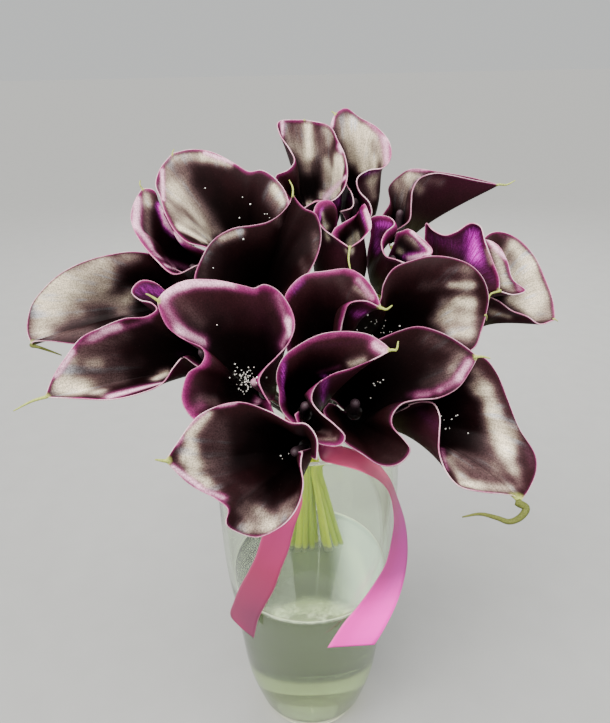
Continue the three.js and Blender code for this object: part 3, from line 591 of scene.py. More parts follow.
# The silky lights, the backlit violets and the pink margins of each bloom are soft strokes, laid on the
# first surface that a line of sight meets: from pixel to pixel of the photograph, with a half width in
# pixels and a strength. The silky lights are painted highlights and the violets are painted light shining
# through the petals. The pink margins are the petals' own pink, brightened in places as painted highlight.
PAINTED_SHEEN_STROKES = {
    1: [
        (194, 236, 202, 243, 5, 0.55), (174, 200, 182, 212, 6, 0.35), (170, 206, 184, 224, 8, 0.52),
        (160, 188, 172, 220, 7, 0.38), (180, 228, 204, 241, 6, 1), (210, 233, 218, 231, 7, 0.44),
        (182, 168, 186, 172, 8, 0.33), (166, 168, 172, 195, 10, 0.53), (176, 190, 200, 222, 12, 0.74),
        (188, 222, 208, 238, 9, 0.73), (172, 157, 200, 156, 7, 0.65), (205, 157, 230, 163, 6, 0.82),
        (186, 182, 212, 218, 8, 0.25), (275, 188, 284, 200, 8, 0.9), (268, 198, 278, 212, 8, 0.31),
    ],
    2: [(145, 192, 147, 202, 6, 0.71), (146, 205, 148, 240, 7, 0.42), (158, 255, 176, 268, 5, 0.3)],
    3: [
        (276, 216, 280, 224, 6, 0.3), (222, 238, 240, 232, 6, 0.68), (206, 254, 214, 244, 6, 0.32),
        (204, 262, 204, 274, 6, 0.23), (315, 235, 317, 264, 6, 0.34), (302, 262, 308, 276, 7, 0.25),
    ],
    4: [
        (328, 164, 332, 172, 5, 0.5), (328, 128, 332, 136, 6, 0.45), (342, 168, 342, 178, 6, 1),
        (305, 160, 307, 168, 8, 0.51), (308, 205, 313, 203, 5, 1), (308, 124, 309, 154, 6, 1),
        (284, 125, 290, 145, 7, 0.51), (297, 126, 298, 150, 6, 0.36), (318, 136, 318, 150, 6, 0.22),
        (326, 126, 328, 142, 7, 0.45), (337, 160, 335, 190, 8, 1), (322, 196, 334, 196, 5, 0.86),
        (326, 160, 327, 185, 6, 0.5), (300, 150, 330, 150, 9, 0.22), (318, 165, 336, 192, 9, 0.12),
        (341, 160, 340, 188, 6, 1),
    ],
    5: [
        (374, 172, 374, 178, 8, 0.54), (374, 160, 374, 168, 8, 1), (370, 182, 374, 196, 7, 0.52),
        (366, 128, 367, 136, 8, 0.8), (338, 115, 342, 135, 8, 0.36), (352, 122, 361, 150, 10, 0.89),
        (364, 150, 364, 168, 8, 1), (377, 135, 384, 162, 9, 0.67), (347, 135, 352, 160, 7, 0.59),
    ],
    6: [
        (408, 180, 412, 188, 5, 0.5), (416, 186, 420, 190, 7, 0.52), (410, 175, 418, 177, 6, 0.66),
        (396, 180, 406, 178, 7, 0.32), (398, 188, 408, 192, 8, 0.43), (402, 200, 408, 206, 7, 0.28),
        (425, 178, 440, 182, 7, 0.36), (396, 185, 400, 205, 8, 0.12), (393, 202, 399, 214, 6, 0.08),
    ],
    7: [
        (348, 246, 352, 252, 5, 0.7), (325, 228, 328, 236, 6, 1), (350, 240, 351, 248, 6, 1),
        (356, 235, 359, 240, 5, 0.9), (350, 228, 356, 232, 5, 0.3), (322, 214, 324, 226, 4, 0.69),
    ],
    8: [
        (390, 243, 402, 250, 6, 0.65), (408, 240, 424, 250, 8, 0.34), (410, 234, 416, 240, 6, 0.66),
        (392, 248, 400, 252, 4, 1),
    ],
    9: [(508, 284, 513, 291, 5, 0.44), (488, 250, 492, 262, 4, 1), (496, 250, 505, 284, 7, 0.73)],
    10: [
        (530, 310, 536, 320, 6, 0.5), (492, 312, 508, 316, 6, 0.6), (514, 246, 530, 265, 10, 0.83),
        (528, 268, 540, 295, 12, 0.8), (520, 275, 530, 300, 10, 0.6), (535, 300, 548, 315, 11, 0.58),
        (512, 300, 530, 308, 8, 0.69), (500, 258, 510, 280, 8, 0.72),
    ],
    11: [
        (444, 301, 448, 307, 8, 0.42), (444, 326, 450, 330, 8, 0.4), (466, 268, 468, 340, 9, 0.34),
        (446, 270, 472, 270, 5, 0.23), (452, 285, 472, 285, 5, 0.71), (458, 301, 471, 303, 7, 0.88),
        (440, 312, 450, 310, 7, 0.4), (452, 318, 468, 318, 9, 0.66), (455, 334, 468, 333, 9, 0.7),
        (434, 320, 440, 318, 7, 0.39), (475, 300, 479, 335, 6, 0.08), (400, 268, 430, 266, 9, 0.08),
        (425, 286, 445, 283, 8, 0.26),
    ],
    12: [
        (70, 304, 78, 312, 7, 0.4), (122, 312, 130, 316, 6, 0.3), (102, 289, 108, 286, 6, 0.4),
        (124, 256, 138, 257, 6, 0.38), (116, 317, 126, 308, 8, 0.15), (128, 299, 132, 293, 8, 0.63),
        (40, 330, 45, 300, 13, 0.75), (45, 300, 60, 284, 13, 0.93), (60, 284, 100, 262, 12, 0.69),
        (58, 312, 62, 292, 11, 0.64), (78, 288, 108, 276, 12, 0.55), (85, 297, 114, 300, 11, 0.51),
        (48, 336, 90, 332, 9, 0.38), (62, 322, 90, 316, 10, 0.26), (112, 262, 128, 260, 8, 0.31),
    ],
    13: [
        (98, 393, 104, 397, 5, 0.45), (90, 364, 98, 363, 7, 0.46), (156, 379, 166, 374, 6, 0.85),
        (94, 393, 104, 391, 5, 0.57), (62, 386, 80, 389, 12, 1), (66, 374, 70, 360, 9, 0.55),
        (86, 384, 120, 380, 11, 0.35), (78, 360, 112, 356, 10, 0.24), (85, 346, 125, 336, 9, 0.28),
        (105, 368, 140, 362, 9, 0.16),
    ],
    14: [
        (178, 298, 200, 322, 11, 0.29), (205, 300, 228, 320, 11, 0.1), (200, 398, 215, 402, 8, 0.34),
        (270, 305, 276, 330, 7, 0.08),
    ],
    15: [(340, 282, 352, 300, 8, 0.23), (356, 288, 368, 297, 5, 0.52)],
    16: [
        (350, 364, 364, 360, 6, 0.62), (350, 350, 372, 350, 8, 0.08), (318, 440, 335, 440, 5, 0.47),
        (320, 432, 330, 434, 5, 0.36),
    ],
    17: [
        (440, 384, 456, 374, 7, 0.08), (430, 338, 452, 350, 10, 0.26), (432, 366, 450, 372, 11, 0.15),
        (452, 367, 462, 356, 7, 0.43), (425, 384, 448, 378, 9, 0.21), (385, 457, 398, 460, 4, 0.14),
        (395, 345, 420, 345, 12, 0.08),
    ],
    18: [
        (454, 458, 462, 462, 6, 0.3), (472, 386, 476, 392, 7, 0.44), (462, 484, 470, 485, 5, 0.78),
        (514, 428, 515, 438, 8, 0.47), (476, 372, 486, 388, 8, 0.48), (486, 390, 494, 410, 9, 0.71),
        (492, 412, 500, 430, 9, 0.75), (500, 430, 506, 450, 10, 1), (506, 450, 512, 470, 8, 0.58),
        (484, 422, 490, 442, 7, 0.21), (494, 466, 506, 485, 8, 0.32), (447, 460, 460, 476, 7, 0.53),
        (460, 478, 478, 485, 7, 0.43), (478, 487, 510, 489, 7, 0.62), (470, 468, 490, 474, 10, 0.37),
        (455, 452, 480, 460, 9, 0.29), (516, 470, 519, 485, 6, 0.34), (526, 440, 532, 465, 6, 0.15),
        (522, 470, 526, 490, 6, 0.08), (478, 440, 496, 466, 9, 0.18),
    ],
    19: [
        (238, 510, 246, 516, 6, 0.3), (208, 413, 196, 427, 6, 0.71), (240, 527, 246, 530, 7, 0.49),
        (188, 430, 192, 450, 9, 0.78), (186, 458, 195, 464, 9, 0.84), (190, 474, 205, 482, 8, 0.73),
        (208, 486, 216, 490, 7, 0.45), (205, 425, 212, 455, 12, 0.21), (222, 425, 226, 455, 12, 0.24),
        (210, 466, 224, 476, 10, 0.25), (246, 504, 262, 512, 9, 0.36), (258, 512, 268, 524, 10, 0.37),
        (272, 522, 290, 514, 10, 0.53), (250, 526, 272, 531, 8, 0.52), (284, 506, 296, 498, 8, 0.37),
        (242, 488, 262, 490, 7, 0.18),
    ],
}
PAINTED_BACKLIGHT_STROKES = {
    2: [(160, 206, 167, 226, 4, 1), (167, 226, 182, 242, 4, 1), (182, 242, 195, 248, 4, 0.46)],
    4: [(335, 196, 344, 208, 6, 0.44)],
    5: [(338, 186, 352, 200, 7, 0.31), (366, 172, 376, 170, 5, 0.77)],
    7: [(321, 206, 319, 225, 3, 0.85), (363, 210, 371, 232, 4, 0.85), (340, 222, 355, 214, 4, 0.35)],
    8: [
        (374, 220, 393, 221, 8, 1), (374, 232, 378, 250, 6, 0.42), (413, 234, 430, 252, 5, 1),
        (404, 256, 428, 256, 4, 1),
    ],
    9: [
        (472, 234, 476, 255, 9, 1), (462, 252, 485, 262, 8, 0.08), (480, 264, 492, 278, 8, 0.2),
        (434, 238, 456, 246, 8, 0.27),
    ],
    13: [(136, 288, 160, 292, 8, 0.41), (142, 302, 158, 308, 5, 0.08), (178, 354, 190, 352, 4, 0.12)],
    14: [(184, 385, 192, 415, 6, 0.08), (262, 290, 272, 300, 6, 0.08), (262, 425, 285, 410, 5, 0.45)],
    15: [(355, 314, 378, 313, 6, 0.48), (290, 290, 300, 280, 5, 0.82), (304, 277, 340, 274, 4, 0.08)],
    16: [
        (283, 352, 282, 400, 4, 0.73), (295, 348, 370, 341, 4, 0.08), (325, 376, 322, 405, 5, 0.55),
        (285, 406, 302, 418, 4, 0.08),
    ],
    17: [(392, 408, 400, 402, 5, 0.08)],
    18: [(420, 410, 436, 425, 8, 0.14)],
}
BLUSH_AND_HIGHLIGHT_STROKES = {
    1: [(162, 170, 163, 200, 3, 1), (205, 153, 240, 165, 3, 1), (255, 171, 280, 183, 4, 0.08)],
    2: [
        (152, 250, 158, 256, 6, 0.64), (166, 266, 176, 270, 5, 0.92), (137, 196, 136, 225, 6, 1),
        (138, 228, 150, 245, 5, 0.81), (155, 256, 190, 270, 4, 0.48), (161, 206, 166, 224, 3.5, 1),
        (166, 224, 180, 240, 3.5, 1), (180, 240, 194, 248, 3.5, 0.5),
    ],
    4: [(282, 122, 282, 135, 3, 0.99), (335, 130, 342, 150, 5, 1), (325, 198, 345, 178, 4, 1)],
    5: [(366, 120, 385, 140, 4, 0.61), (386, 140, 387, 166, 6, 0.87), (334, 115, 332, 126, 3, 1)],
    6: [(405, 170, 430, 170, 3, 0.68)],
    7: [(318, 210, 330, 203, 4, 0.33), (366, 210, 372, 232, 4, 0.9)],
    8: [(408, 258, 430, 254, 4, 1), (412, 232, 430, 250, 3, 0.98)],
    9: [(488, 240, 510, 262, 4, 1), (508, 262, 520, 290, 4, 0.62)],
    10: [(490, 248, 504, 285, 4, 0.65), (505, 288, 520, 288, 4, 0.6), (500, 235, 530, 248, 3, 0.22)],
    13: [
        (92, 337, 97, 335, 6, 0.58), (104, 330, 118, 326, 5, 0.82), (75, 345, 150, 319, 4, 0.38),
        (56, 376, 72, 352, 4, 0.94), (110, 397, 160, 384, 6, 1),
    ],
    14: [
        (289, 322, 290, 334, 6, 0.94), (286, 338, 283, 346, 6, 0.54), (252, 300, 276, 340, 14, 0.08),
        (190, 388, 204, 402, 9, 0.15), (262, 395, 256, 405, 5, 0.79), (163, 294, 185, 284, 7, 1),
        (185, 283, 232, 283, 6, 1), (235, 288, 256, 291, 4, 0.37), (278, 296, 287, 320, 7, 0.5),
        (287, 322, 278, 352, 5, 0.08), (163, 302, 178, 328, 8, 0.55), (180, 331, 203, 342, 7, 0.83),
        (190, 412, 200, 406, 6, 0.38),
    ],
    15: [(290, 288, 300, 278, 4, 0.48), (303, 274, 340, 271, 3, 0.47), (358, 280, 373, 298, 5, 0.7)],
    16: [
        (300, 342, 335, 336, 3, 0.31), (335, 334, 370, 337, 3, 0.17), (376, 345, 386, 352, 8, 0.84),
        (318, 372, 340, 366, 3, 0.25),
    ],
    17: [
        (418, 396, 428, 395, 6, 0.46), (408, 395, 440, 391, 4, 0.21), (440, 390, 458, 380, 6, 0.52),
        (460, 376, 469, 362, 6, 0.79),
    ],
    18: [(442, 450, 447, 470, 3, 0.58), (498, 385, 512, 410, 4, 0.08), (526, 445, 532, 465, 5, 0.16)],
    19: [
        (172, 448, 182, 438, 4, 0.62), (185, 430, 205, 411, 4, 0.66), (172, 466, 200, 487, 4, 0.95),
        (205, 491, 224, 498, 4, 0.76), (210, 407, 235, 403, 3, 0.76),
    ],
}
STROKES = {"sheen": PAINTED_SHEEN_STROKES, "glow": PAINTED_BACKLIGHT_STROKES, "blush": BLUSH_AND_HIGHLIGHT_STROKES}
FAINTEST = 6  # squared half widths from a stroke, past which it leaves no mark


def sight(x, y):
    """The direction from the camera through a pixel of the photograph."""
    across = (x - PHOTO_WIDTH / 2) / FOCAL
    down = (y - PHOTO_HEIGHT / 2) / FOCAL
    return (camera_turn @ Vector((across, -down, -1))).normalized()


def stroke_strengths(points, tree, strokes):
    """How strongly the strokes mark each point of a petal, from 0 to 1."""
    left_dark = [1.0] * len(points)
    for x0, y0, x1, y1, half_width, strength in strokes:
        marks = []
        steps = max(2, math.ceil(math.hypot(x1 - x0, y1 - y0) / (0.5 * half_width)))
        for i in range(steps + 1):
            x, y = x0 + (x1 - x0) * i / steps, y0 + (y1 - y0) * i / steps
            spot, _normal, _face, distance = tree.ray_cast(CAMERA_PLACE, sight(x, y))
            if spot:
                marks.append((spot, half_width * distance / FOCAL))
        for i, point in enumerate(points):
            near = min(
                ((point - mark).length_squared / (radius * radius) for mark, radius in marks),
                default=FAINTEST,
            )
            if near < FAINTEST:
                left_dark[i] *= 1 - strength * math.exp(-near)
    return [1 - dark for dark in left_dark]


def petal_finish(name, foot_tone, low_tone, high_tone, wine_tone):
    """Near-black purple that turns plum, then magenta and pale pink at the rim, and green at the tip."""
    finish = Finish(name)
    place = finish.node("TexCoord", {}, {}).of("Object")
    uv = finish.node("UVMap", {"uv_map": "UVMap"}, {})
    marks = {}
    for mark in ("rim", "band", "band_depth", "edge", "wine", "sheen", "glow", "blush", "green"):
        marks[mark] = finish.node("Attribute", {"attribute_name": mark}, {}).of("Fac")
    height = finish.node("SeparateXYZ", {}, {0: uv}).of("Y")
    strands = finish.node("Mapping", {}, {"Vector": uv, "Scale": (150.0, 4.0, 1.0)})
    vein = finish.node("TexNoise", {}, {"Vector": strands, "Scale": 1, "Detail": 4, "Roughness": 0.65})
    broad_map = finish.node("Mapping", {}, {"Vector": uv, "Scale": (30.0, 1.6, 1.0)})
    broad = finish.node("TexNoise", {}, {"Vector": broad_map, "Scale": 1, "Detail": 2})
    cloud = finish.node("TexNoise", {}, {"Vector": place, "Scale": 70, "Detail": 3})
    grain = finish.node("TexNoise", {}, {"Vector": place, "Scale": 1500, "Detail": 2})
    body = finish.mix(height.ramp(0.05, 0.35), foot_tone, low_tone)
    wine = finish.mix(marks["wine"] * (0.5 + cloud), high_tone, wine_tone)
    body = finish.mix((height + (cloud - 0.5) * 0.4).ramp(0.30, 0.90), body, wine)
    uneven = 1 + (vein - 0.5) * 0.6 + (broad - 0.5) * 0.25 + (grain - 0.5) * 0.35
    # Painted light: bright violet where light shines through the petals from behind.
    painted_backlit_violet = finish.mix(vein.ramp(0.35, 0.7), (0.38, 0.006, 0.30), (0.90, 0.06, 0.85))
    body = finish.mix((marks["glow"] * uneven) ** 2.0, body, painted_backlit_violet)
    # Painted highlight: the silky lights, pale and warm, with cooler patches of painted reflection.
    painted_silk_sheen = finish.mix(marks["sheen"].ramp(0.25, 0.85), (0.55, 0.32, 0.33), (1.0, 0.85, 0.62))
    painted_silk_sheen = finish.mix((broad * 0.6 + cloud * 0.4).ramp(0.52, 0.70), painted_silk_sheen, (0.76, 0.76, 0.80))
    body = finish.mix((marks["sheen"] * uneven) ** 2.4, body, painted_silk_sheen)
    share = marks["band"] + (cloud - 0.5) * 0.6 + (vein - 0.5) * 0.3
    plum = finish.mix(share.ramp(0.35, 1.1), (0.12, 0.008, 0.055), (0.035, 0.005, 0.014))
    magenta = finish.mix(share.ramp(0.0, 0.5), (0.32, 0.035, 0.17), plum)
    body = finish.mix((1 - share.ramp(0.55, 1.25)) * marks["band_depth"], body, magenta)
    # The pale pink margins: the petals' own pink, brightened in places as painted highlight.
    pink = finish.mix(marks["blush"].ramp(0.3, 1.0), (0.55, 0.09, 0.30), (1.0, 0.55, 0.72))
    body = finish.mix((marks["blush"] * uneven) ** 2.0, body, pink)
    pale = finish.mix(cloud.ramp(0.35, 0.65), (0.60, 0.20, 0.34), (1.0, 0.68, 0.74))
    line = 1 - (marks["rim"] + (cloud - 0.5) * 0.4).ramp(0.05, 0.55)
    body = finish.mix(line * marks["edge"], body, pale)
    body = finish.mix(marks["green"].ramp(0.15, 0.75), body, (0.42, 0.47, 0.12))
    body = finish.mix((1 - grain.ramp(0.35, 0.6)) * 0.35, body, (0.001, 0.0005, 0.0005))
    body = finish.mix(grain.ramp(0.70, 0.80) * 0.12, body, (0.20, 0.16, 0.15))
    relief = vein * 0.5 + broad * 1.2 + grain * 0.15
    finish.set(Base_Color=body, Normal=finish.bump(relief, 0.3, 0.0006), Roughness=0.40 + 0.15 * cloud)
    finish.set(Specular_IOR_Level=0.05)
    return finish.material


# Each bloom's magenta band inside the rim, in millimetres, how deep its colour is, how pale the edge is,
# how wine-red its body is, and its tail's radius in millimetres.
RIM_LOOKS = [
    (3.0, 0.7, 1.0, 0.3, 0.4), (4.0, 0.8, 1.0, 0.7, 0.6), (1.5, 0.6, 0.5, 0.1, 0.6),
    (3.0, 0.7, 1.0, 0.6, 0.4), (4.5, 0.7, 1.0, 0.5, 0.6), (2.0, 0.6, 0.6, 1.0, 0.8),
    (5.0, 1.0, 0.8, 1.0, 0.7), (6.0, 1.0, 0.8, 1.0, 0.7), (3.0, 0.8, 0.9, 0.8, 0.7),
    (2.5, 0.7, 1.0, 0.4, 0.5), (1.5, 0.5, 0.6, 0.4, 0.4), (1.5, 0.7, 0.9, 0.5, 1.2),
    (2.5, 0.8, 1.0, 0.4, 1.0), (5.0, 0.9, 0.5, 1.0, 0.8), (4.5, 0.8, 0.6, 0.6, 0.9),
    (4.5, 0.7, 0.6, 0.9, 0.8), (2.0, 0.4, 0.5, 0.1, 0.8), (1.5, 0.4, 0.8, 0.6, 2.0),
    (1.8, 0.5, 1.0, 0.3, 1.0),
]

inside_finish = petal_finish("spathe_inside", (0.0008, 0.0003, 0.0003), (0.0024, 0.0006, 0.0007),
                             (0.0100, 0.0026, 0.0030), (0.026, 0.0058, 0.0085))
outside_finish = petal_finish("spathe_outside", (0.030, 0.030, 0.010), (0.016, 0.0045, 0.0055),
                              (0.022, 0.0055, 0.009), (0.034, 0.0055, 0.013))

throats = [Throat(bloom) for bloom in BLOOMS]
spathes = []
for index, (bloom, throat) in enumerate(zip(BLOOMS, throats)):
    ribs = throat.ribs()
    if throat.angles[-1] > throat.angles[0]:
        ribs = ribs[::-1]
    tip = throat.rim[throat.tip_column]
    tip_rib = next(rib for rib in ribs if rib[-1] == tip)
    rows = [[rib[v] for rib in ribs] for v in range(WALL_STEPS + 1)]
    spathe = grid_object(f"spathe_petal_{number(index)}", rows)
    points = [point for row in rows for point in row]
    tree = BVHTree.FromPolygons(points, [face.vertices for face in spathe.data.polygons])
    band_width, band_depth, edge, wine, tail_radius = RIM_LOOKS[index]
    green_reach = GREEN_REACH * tail_radius * MM
    to_rim = []
    greens = []
    for v, row in enumerate(rows):
        steps = [0.0]
        for p, q in zip(row, row[1:]):
            steps.append(steps[-1] + (q - p).length)
        for u, point in enumerate(row):
            rest = sum((q - p).length for p, q in zip(ribs[u][v:], ribs[u][v + 1:]))
            to_rim.append(min(rest, steps[u], steps[-1] - steps[u]) / MM)
            greens.append(max(0, 1 - (point - tip).length / green_reach))
    set_attribute(spathe, "rim", to_rim)
    set_attribute(spathe, "band", [distance / band_width for distance in to_rim])
    set_attribute(spathe, "band_depth", band_depth)
    set_attribute(spathe, "edge", edge)
    set_attribute(spathe, "wine", wine)
    set_attribute(spathe, "green", greens)
    for mark, strokes in STROKES.items():
        set_attribute(spathe, mark, stroke_strengths(points, tree, strokes.get(index + 1, [])))
    spathe.data.materials.append(inside_finish)
    spathe.data.materials.append(outside_finish)
    apply_modifier(spathe, "SOLIDIFY", thickness=SPATHE_THICKNESS * MM, offset=0, material_offset=1)

    curl = [lean(point) for point in bloom["tail"]]
    lip = (tip - tip_rib[-2]).normalized()
    away = ((curl[0] - tip).normalized() + lip * LIP_SHARE).normalized()
    centres = even_points([tip - away * TAIL_ROOT * MM, tip, *curl], TAIL_STEP * MM, least=12)
    last = len(centres) - 1
    radii = [(TAIL_POINT + (tail_radius - TAIL_POINT) * (1 - i / last) ** 0.8) * MM for i in range(last + 1)]
    radii[0] = TAIL_POINT * MM
    tail = tube_object("tail", centres, radii, TAIL_SIDES)
    set_attribute(tail, "green", 0.36 if index + 1 in DARK_TAILS else 1.0)
    for mark in ("rim", "band"):
        set_attribute(tail, mark, 4.0)
    for mark in ("band_depth", "edge", "wine", "sheen", "glow", "blush"):
        set_attribute(tail, mark, 0.0)
    tail.data.materials.append(inside_finish)
    joined([spathe, tail])
    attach(spathe, "root")
    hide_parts(f"spathe_{number(index)}")
    spathes.append((spathe, tree))

# Spadices
# In each throat stands the spadix, a blunt mauve finger on the stem's head, packed with tiny buds
# and dusted with pale pollen.
SPADIX_LENGTH = 26
SPADIX_RADIUS = 2.7
SPADIX_START = 0.3
POINT_START = 0.86  # where the finger starts to round off
BUD_ROWS = 26
BUDS_ROUND = 15
DUSTING = {14: 1.0, 11: 0.5}  # the blooms with the most pollen

spadix_finish = Finish("spadix")
spot = spadix_finish.node("TexCoord", {}, {}).of("Object")
dust = spadix_finish.node("TexNoise", {}, {"Vector": spot, "Scale": 900, "Detail": 3})
tone = spadix_finish.node("TexNoise", {}, {"Vector": spot, "Scale": 130, "Detail": 2})
dusting = spadix_finish.node("Attribute", {"attribute_name": "dusting"}, {}).of("Fac")
skin = spadix_finish.mix(tone, (0.010, 0.003, 0.006), (0.026, 0.010, 0.016))
skin = spadix_finish.mix(dusting * (0.4 + tone), skin, (0.42, 0.20, 0.28))
skin = spadix_finish.mix(dust.ramp(0.60, 0.72) * dusting, skin, (0.75, 0.68, 0.62))
spadix_finish.set(Base_Color=skin, Roughness=0.65, Normal=spadix_finish.bump(dust, 0.4, 0.0003))

bpy.ops.object.select_all(action="DESELECT")
bpy.ops.mesh.primitive_uv_sphere_add(segments=BUDS_ROUND * 3, ring_count=BUD_ROWS * 2, radius=1)
finger = bpy.context.object
for vertex in finger.data.vertices:
    x, y, z = vertex.co
    polar = math.acos(max(-1, min(1, -z))) / math.pi  # 0 at the foot, 1 at the point
    angle = math.atan2(y, x)
    point_share = max(0, (polar - POINT_START) / (1 - POINT_START))
    body = min(1, 2.6 * math.sqrt(polar)) * math.sqrt(max(0, 1 - point_share**2))
    turn = polar * BUD_ROWS * 1.5
    bud = abs(math.sin(polar * BUD_ROWS * math.pi)) * abs(math.cos(angle * BUDS_ROUND / 2 + turn))
    radius = 0 if abs(z) > 0.9999 else SPADIX_RADIUS * MM * body * (0.93 + 0.10 * bud)
    rise = (SPADIX_START + polar * SPADIX_LENGTH) * MM
    vertex.co = radius * math.cos(angle), radius * math.sin(angle), rise
bpy.ops.object.shade_smooth()
finger.data.materials.append(spadix_finish.material)

for index, throat in enumerate(throats):
    spadix = finger.copy()
    spadix.data = finger.data.copy()
    spadix.name = f"spadix_finger_{number(index)}"
    bpy.context.collection.objects.link(spadix)
    turned = Matrix((throat.to_tip, throat.side, throat.axis)).transposed().to_4x4()
    spadix.data.transform(Matrix.Translation(throat.foot) @ turned)
    set_attribute(spadix, "dusting", DUSTING.get(index + 1, 0.05))
    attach(spadix, "root")
    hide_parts(f"spadix_{number(index)}")
bpy.data.objects.remove(finger)

# Pollen
# Grains of white pollen have fallen from the spadices and lie scattered on the dark petals, where they
# cling. Each spot is a bloom, a pixel of the photograph, the spread round it in pixels, and a count.
POLLEN_SPOTS = [
    (14, 246, 379, 6, 60), (14, 244, 386, 8, 24), (17, 374, 383, 2, 3), (17, 383, 383, 3, 4),
    (17, 371, 400, 1, 1), (18, 459, 418, 3, 3), (18, 448, 430, 1, 2), (18, 468, 433, 1, 1),
    (18, 443, 419, 2, 2), (11, 384, 327, 9, 16), (11, 366, 320, 14, 12), (1, 204, 187, 1, 1),
    (1, 245, 197, 1, 1), (1, 252, 204, 1, 1), (1, 241, 216, 1, 1), (1, 268, 217, 4, 3), (3, 240, 237, 2, 1),
    (3, 214, 270, 3, 1), (19, 283, 455, 4, 3), (14, 215, 325, 2, 1),
]
GRAIN_RADIUS = 0.40
GRAIN_LIFT = 0.15  # of its centre above the petal
pollen_finish = Finish("pollen")
spot = pollen_finish.node("TexCoord", {}, {}).of("Object")
cream = pollen_finish.node("TexNoise", {}, {"Vector": spot, "Scale": 400})
pollen_colour = pollen_finish.mix(cream, (0.90, 0.87, 0.78), (1.0, 0.98, 0.92))
pollen_finish.set(Base_Color=pollen_colour, Roughness=0.8)
bpy.ops.mesh.primitive_ico_sphere_add(subdivisions=2, radius=1)
ball = bpy.context.object
draw = random.Random(7)
grains = []
for flower, x, y, spread, count in POLLEN_SPOTS:
    for _ in range(count):
        aim = sight(x + draw.gauss(0, spread), y + draw.gauss(0, spread))
        hit, normal, _face, _distance = spathes[flower - 1][1].ray_cast(CAMERA_PLACE, aim)
        if not hit:
            continue
        if normal.dot(aim) > 0:
            normal = -normal
        grain = ball.copy()
        grain.data = ball.data.copy()
        bpy.context.collection.objects.link(grain)
        radius = GRAIN_RADIUS * MM * draw.uniform(0.6, 1.3)
        for vertex in grain.data.vertices:
            round_place = vertex.co * radius
            uneven = 1 + 0.25 * noise.noise(round_place * 4000)
            vertex.co = round_place * uneven + hit + normal * (SPATHE_THICKNESS / 2 + GRAIN_LIFT) * MM
        grains.append(grain)
bpy.data.objects.remove(ball)
pollen = joined(grains)
pollen.name = "pollen"
bpy.ops.object.shade_smooth()
pollen.data.materials.append(pollen_finish.material)
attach(pollen, "root")

# Stems
# Smooth, thick yellow-green stems run from the blooms to the tie in the vase's mouth, and from there
# down into the water, where their cut ends are paler.
STEM_RADIUS = 2.1
NECK_EXTRA = 0.9  # how much thicker a stem is at its bloom
NECK_LENGTH = 14
BUNDLE_RADIUS = 11
SLOT_SHARE = 0.13  # how near the tie's middle a stem passes, as a share of its bloom's distance from it
END_X, END_Y, END_HEIGHT = 5.5, 20, 131
END_SPREAD = (-2.3, -0.6)  # the stems cross at the tie and come apart below it
END_UNEVENNESS = 4
HEAD_DROP = 0.45  # of a stem's top below its bloom's foot
STEM_SIDES = 20
ROUTE_STEPS = 60
NECK_STEPS = 34
HEAD_STEPS = 7

stem_finish = Finish("stem")
spot = stem_finish.node("TexCoord", {}, {}).of("Object")
stem_parts = stem_finish.node("SeparateXYZ", {}, {0: spot})
depth, rise = stem_parts.of("Y"), stem_parts.of("Z")
fibre_map = stem_finish.node("Mapping", {}, {"Vector": spot, "Scale": (900.0, 900.0, 25.0)})
fibre = stem_finish.node("TexNoise", {}, {"Vector": fibre_map, "Scale": 1, "Detail": 2})
patch = stem_finish.node("TexNoise", {}, {"Vector": spot, "Scale": 55, "Detail": 2})
green_tone = stem_finish.mix(patch, (0.60, 0.78, 0.0), (0.92, 1.0, 0.01))
lot = stem_finish.node("Attribute", {"attribute_name": "lot"}, {}).of("Fac")
green_tone = stem_finish.mix(lot, green_tone, (0.40, 0.56, 0.0))
# Above the tie the stems turn a darker green, and on their front near black, which is painted shade under the
# blooms.
shaded = rise.ramp(0.246, 0.262) * (1 - depth.ramp(0.005, 0.030))
green_tone = stem_finish.mix(rise.ramp(0.262, 0.30) * 0.8, green_tone, (0.07, 0.11, 0.015))
green_tone = stem_finish.mix(shaded, green_tone, (0.010, 0.006, 0.005))
green_tone = stem_finish.mix(1 - rise.ramp(0.129, 0.143), green_tone, (0.72, 0.76, 0.42))
stem_finish.set(Base_Color=green_tone, Roughness=0.3, Coat_Weight=0.25)
stem_finish.set(Normal=stem_finish.bump(fibre, 0.25, 0.0004))

head = THROAT_RADIUS + WRAP_STEP
steps = range(ROUTE_STEPS + 1)
stems = []
for index, throat in enumerate(throats):
    foot = throat.foot / MM
    share = min(SLOT_SHARE, (BUNDLE_RADIUS - STEM_RADIUS) / math.hypot(foot.x, foot.y))
    slot = Vector((foot.x * share, foot.y * share, TIE_HEIGHT))
    top = foot - throat.axis * HEAD_DROP
    neck = foot - throat.axis * NECK_LENGTH
    end = Vector((
        END_X + END_SPREAD[0] * slot.x,
        END_Y + END_SPREAD[1] * slot.y,
        END_HEIGHT + END_UNEVENNESS * math.sin(2.4 * index),
    ))
    route = [curve_point([top, neck, slot, end], i / ROUTE_STEPS) * MM for i in steps]
    necks = [STEM_RADIUS + NECK_EXTRA * max(0, 1 - i / NECK_STEPS) for i in steps]
    heads = [(head - STEM_RADIUS) * max(0, 1 - i / HEAD_STEPS) ** 2 for i in steps]
    radii = [min(thin + thick, head) * MM for thin, thick in zip(necks, heads)]
    stem = tube_object("stem", route, radii, STEM_SIDES)
    set_attribute(stem, "lot", (0.618 * index) % 1)
    stems.append(stem)
bunch = joined(stems)
bunch.name = "stem_bunch"
bpy.ops.object.shade_smooth()
bunch.data.materials.append(stem_finish.material)
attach(bunch, "root")
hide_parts("stems")

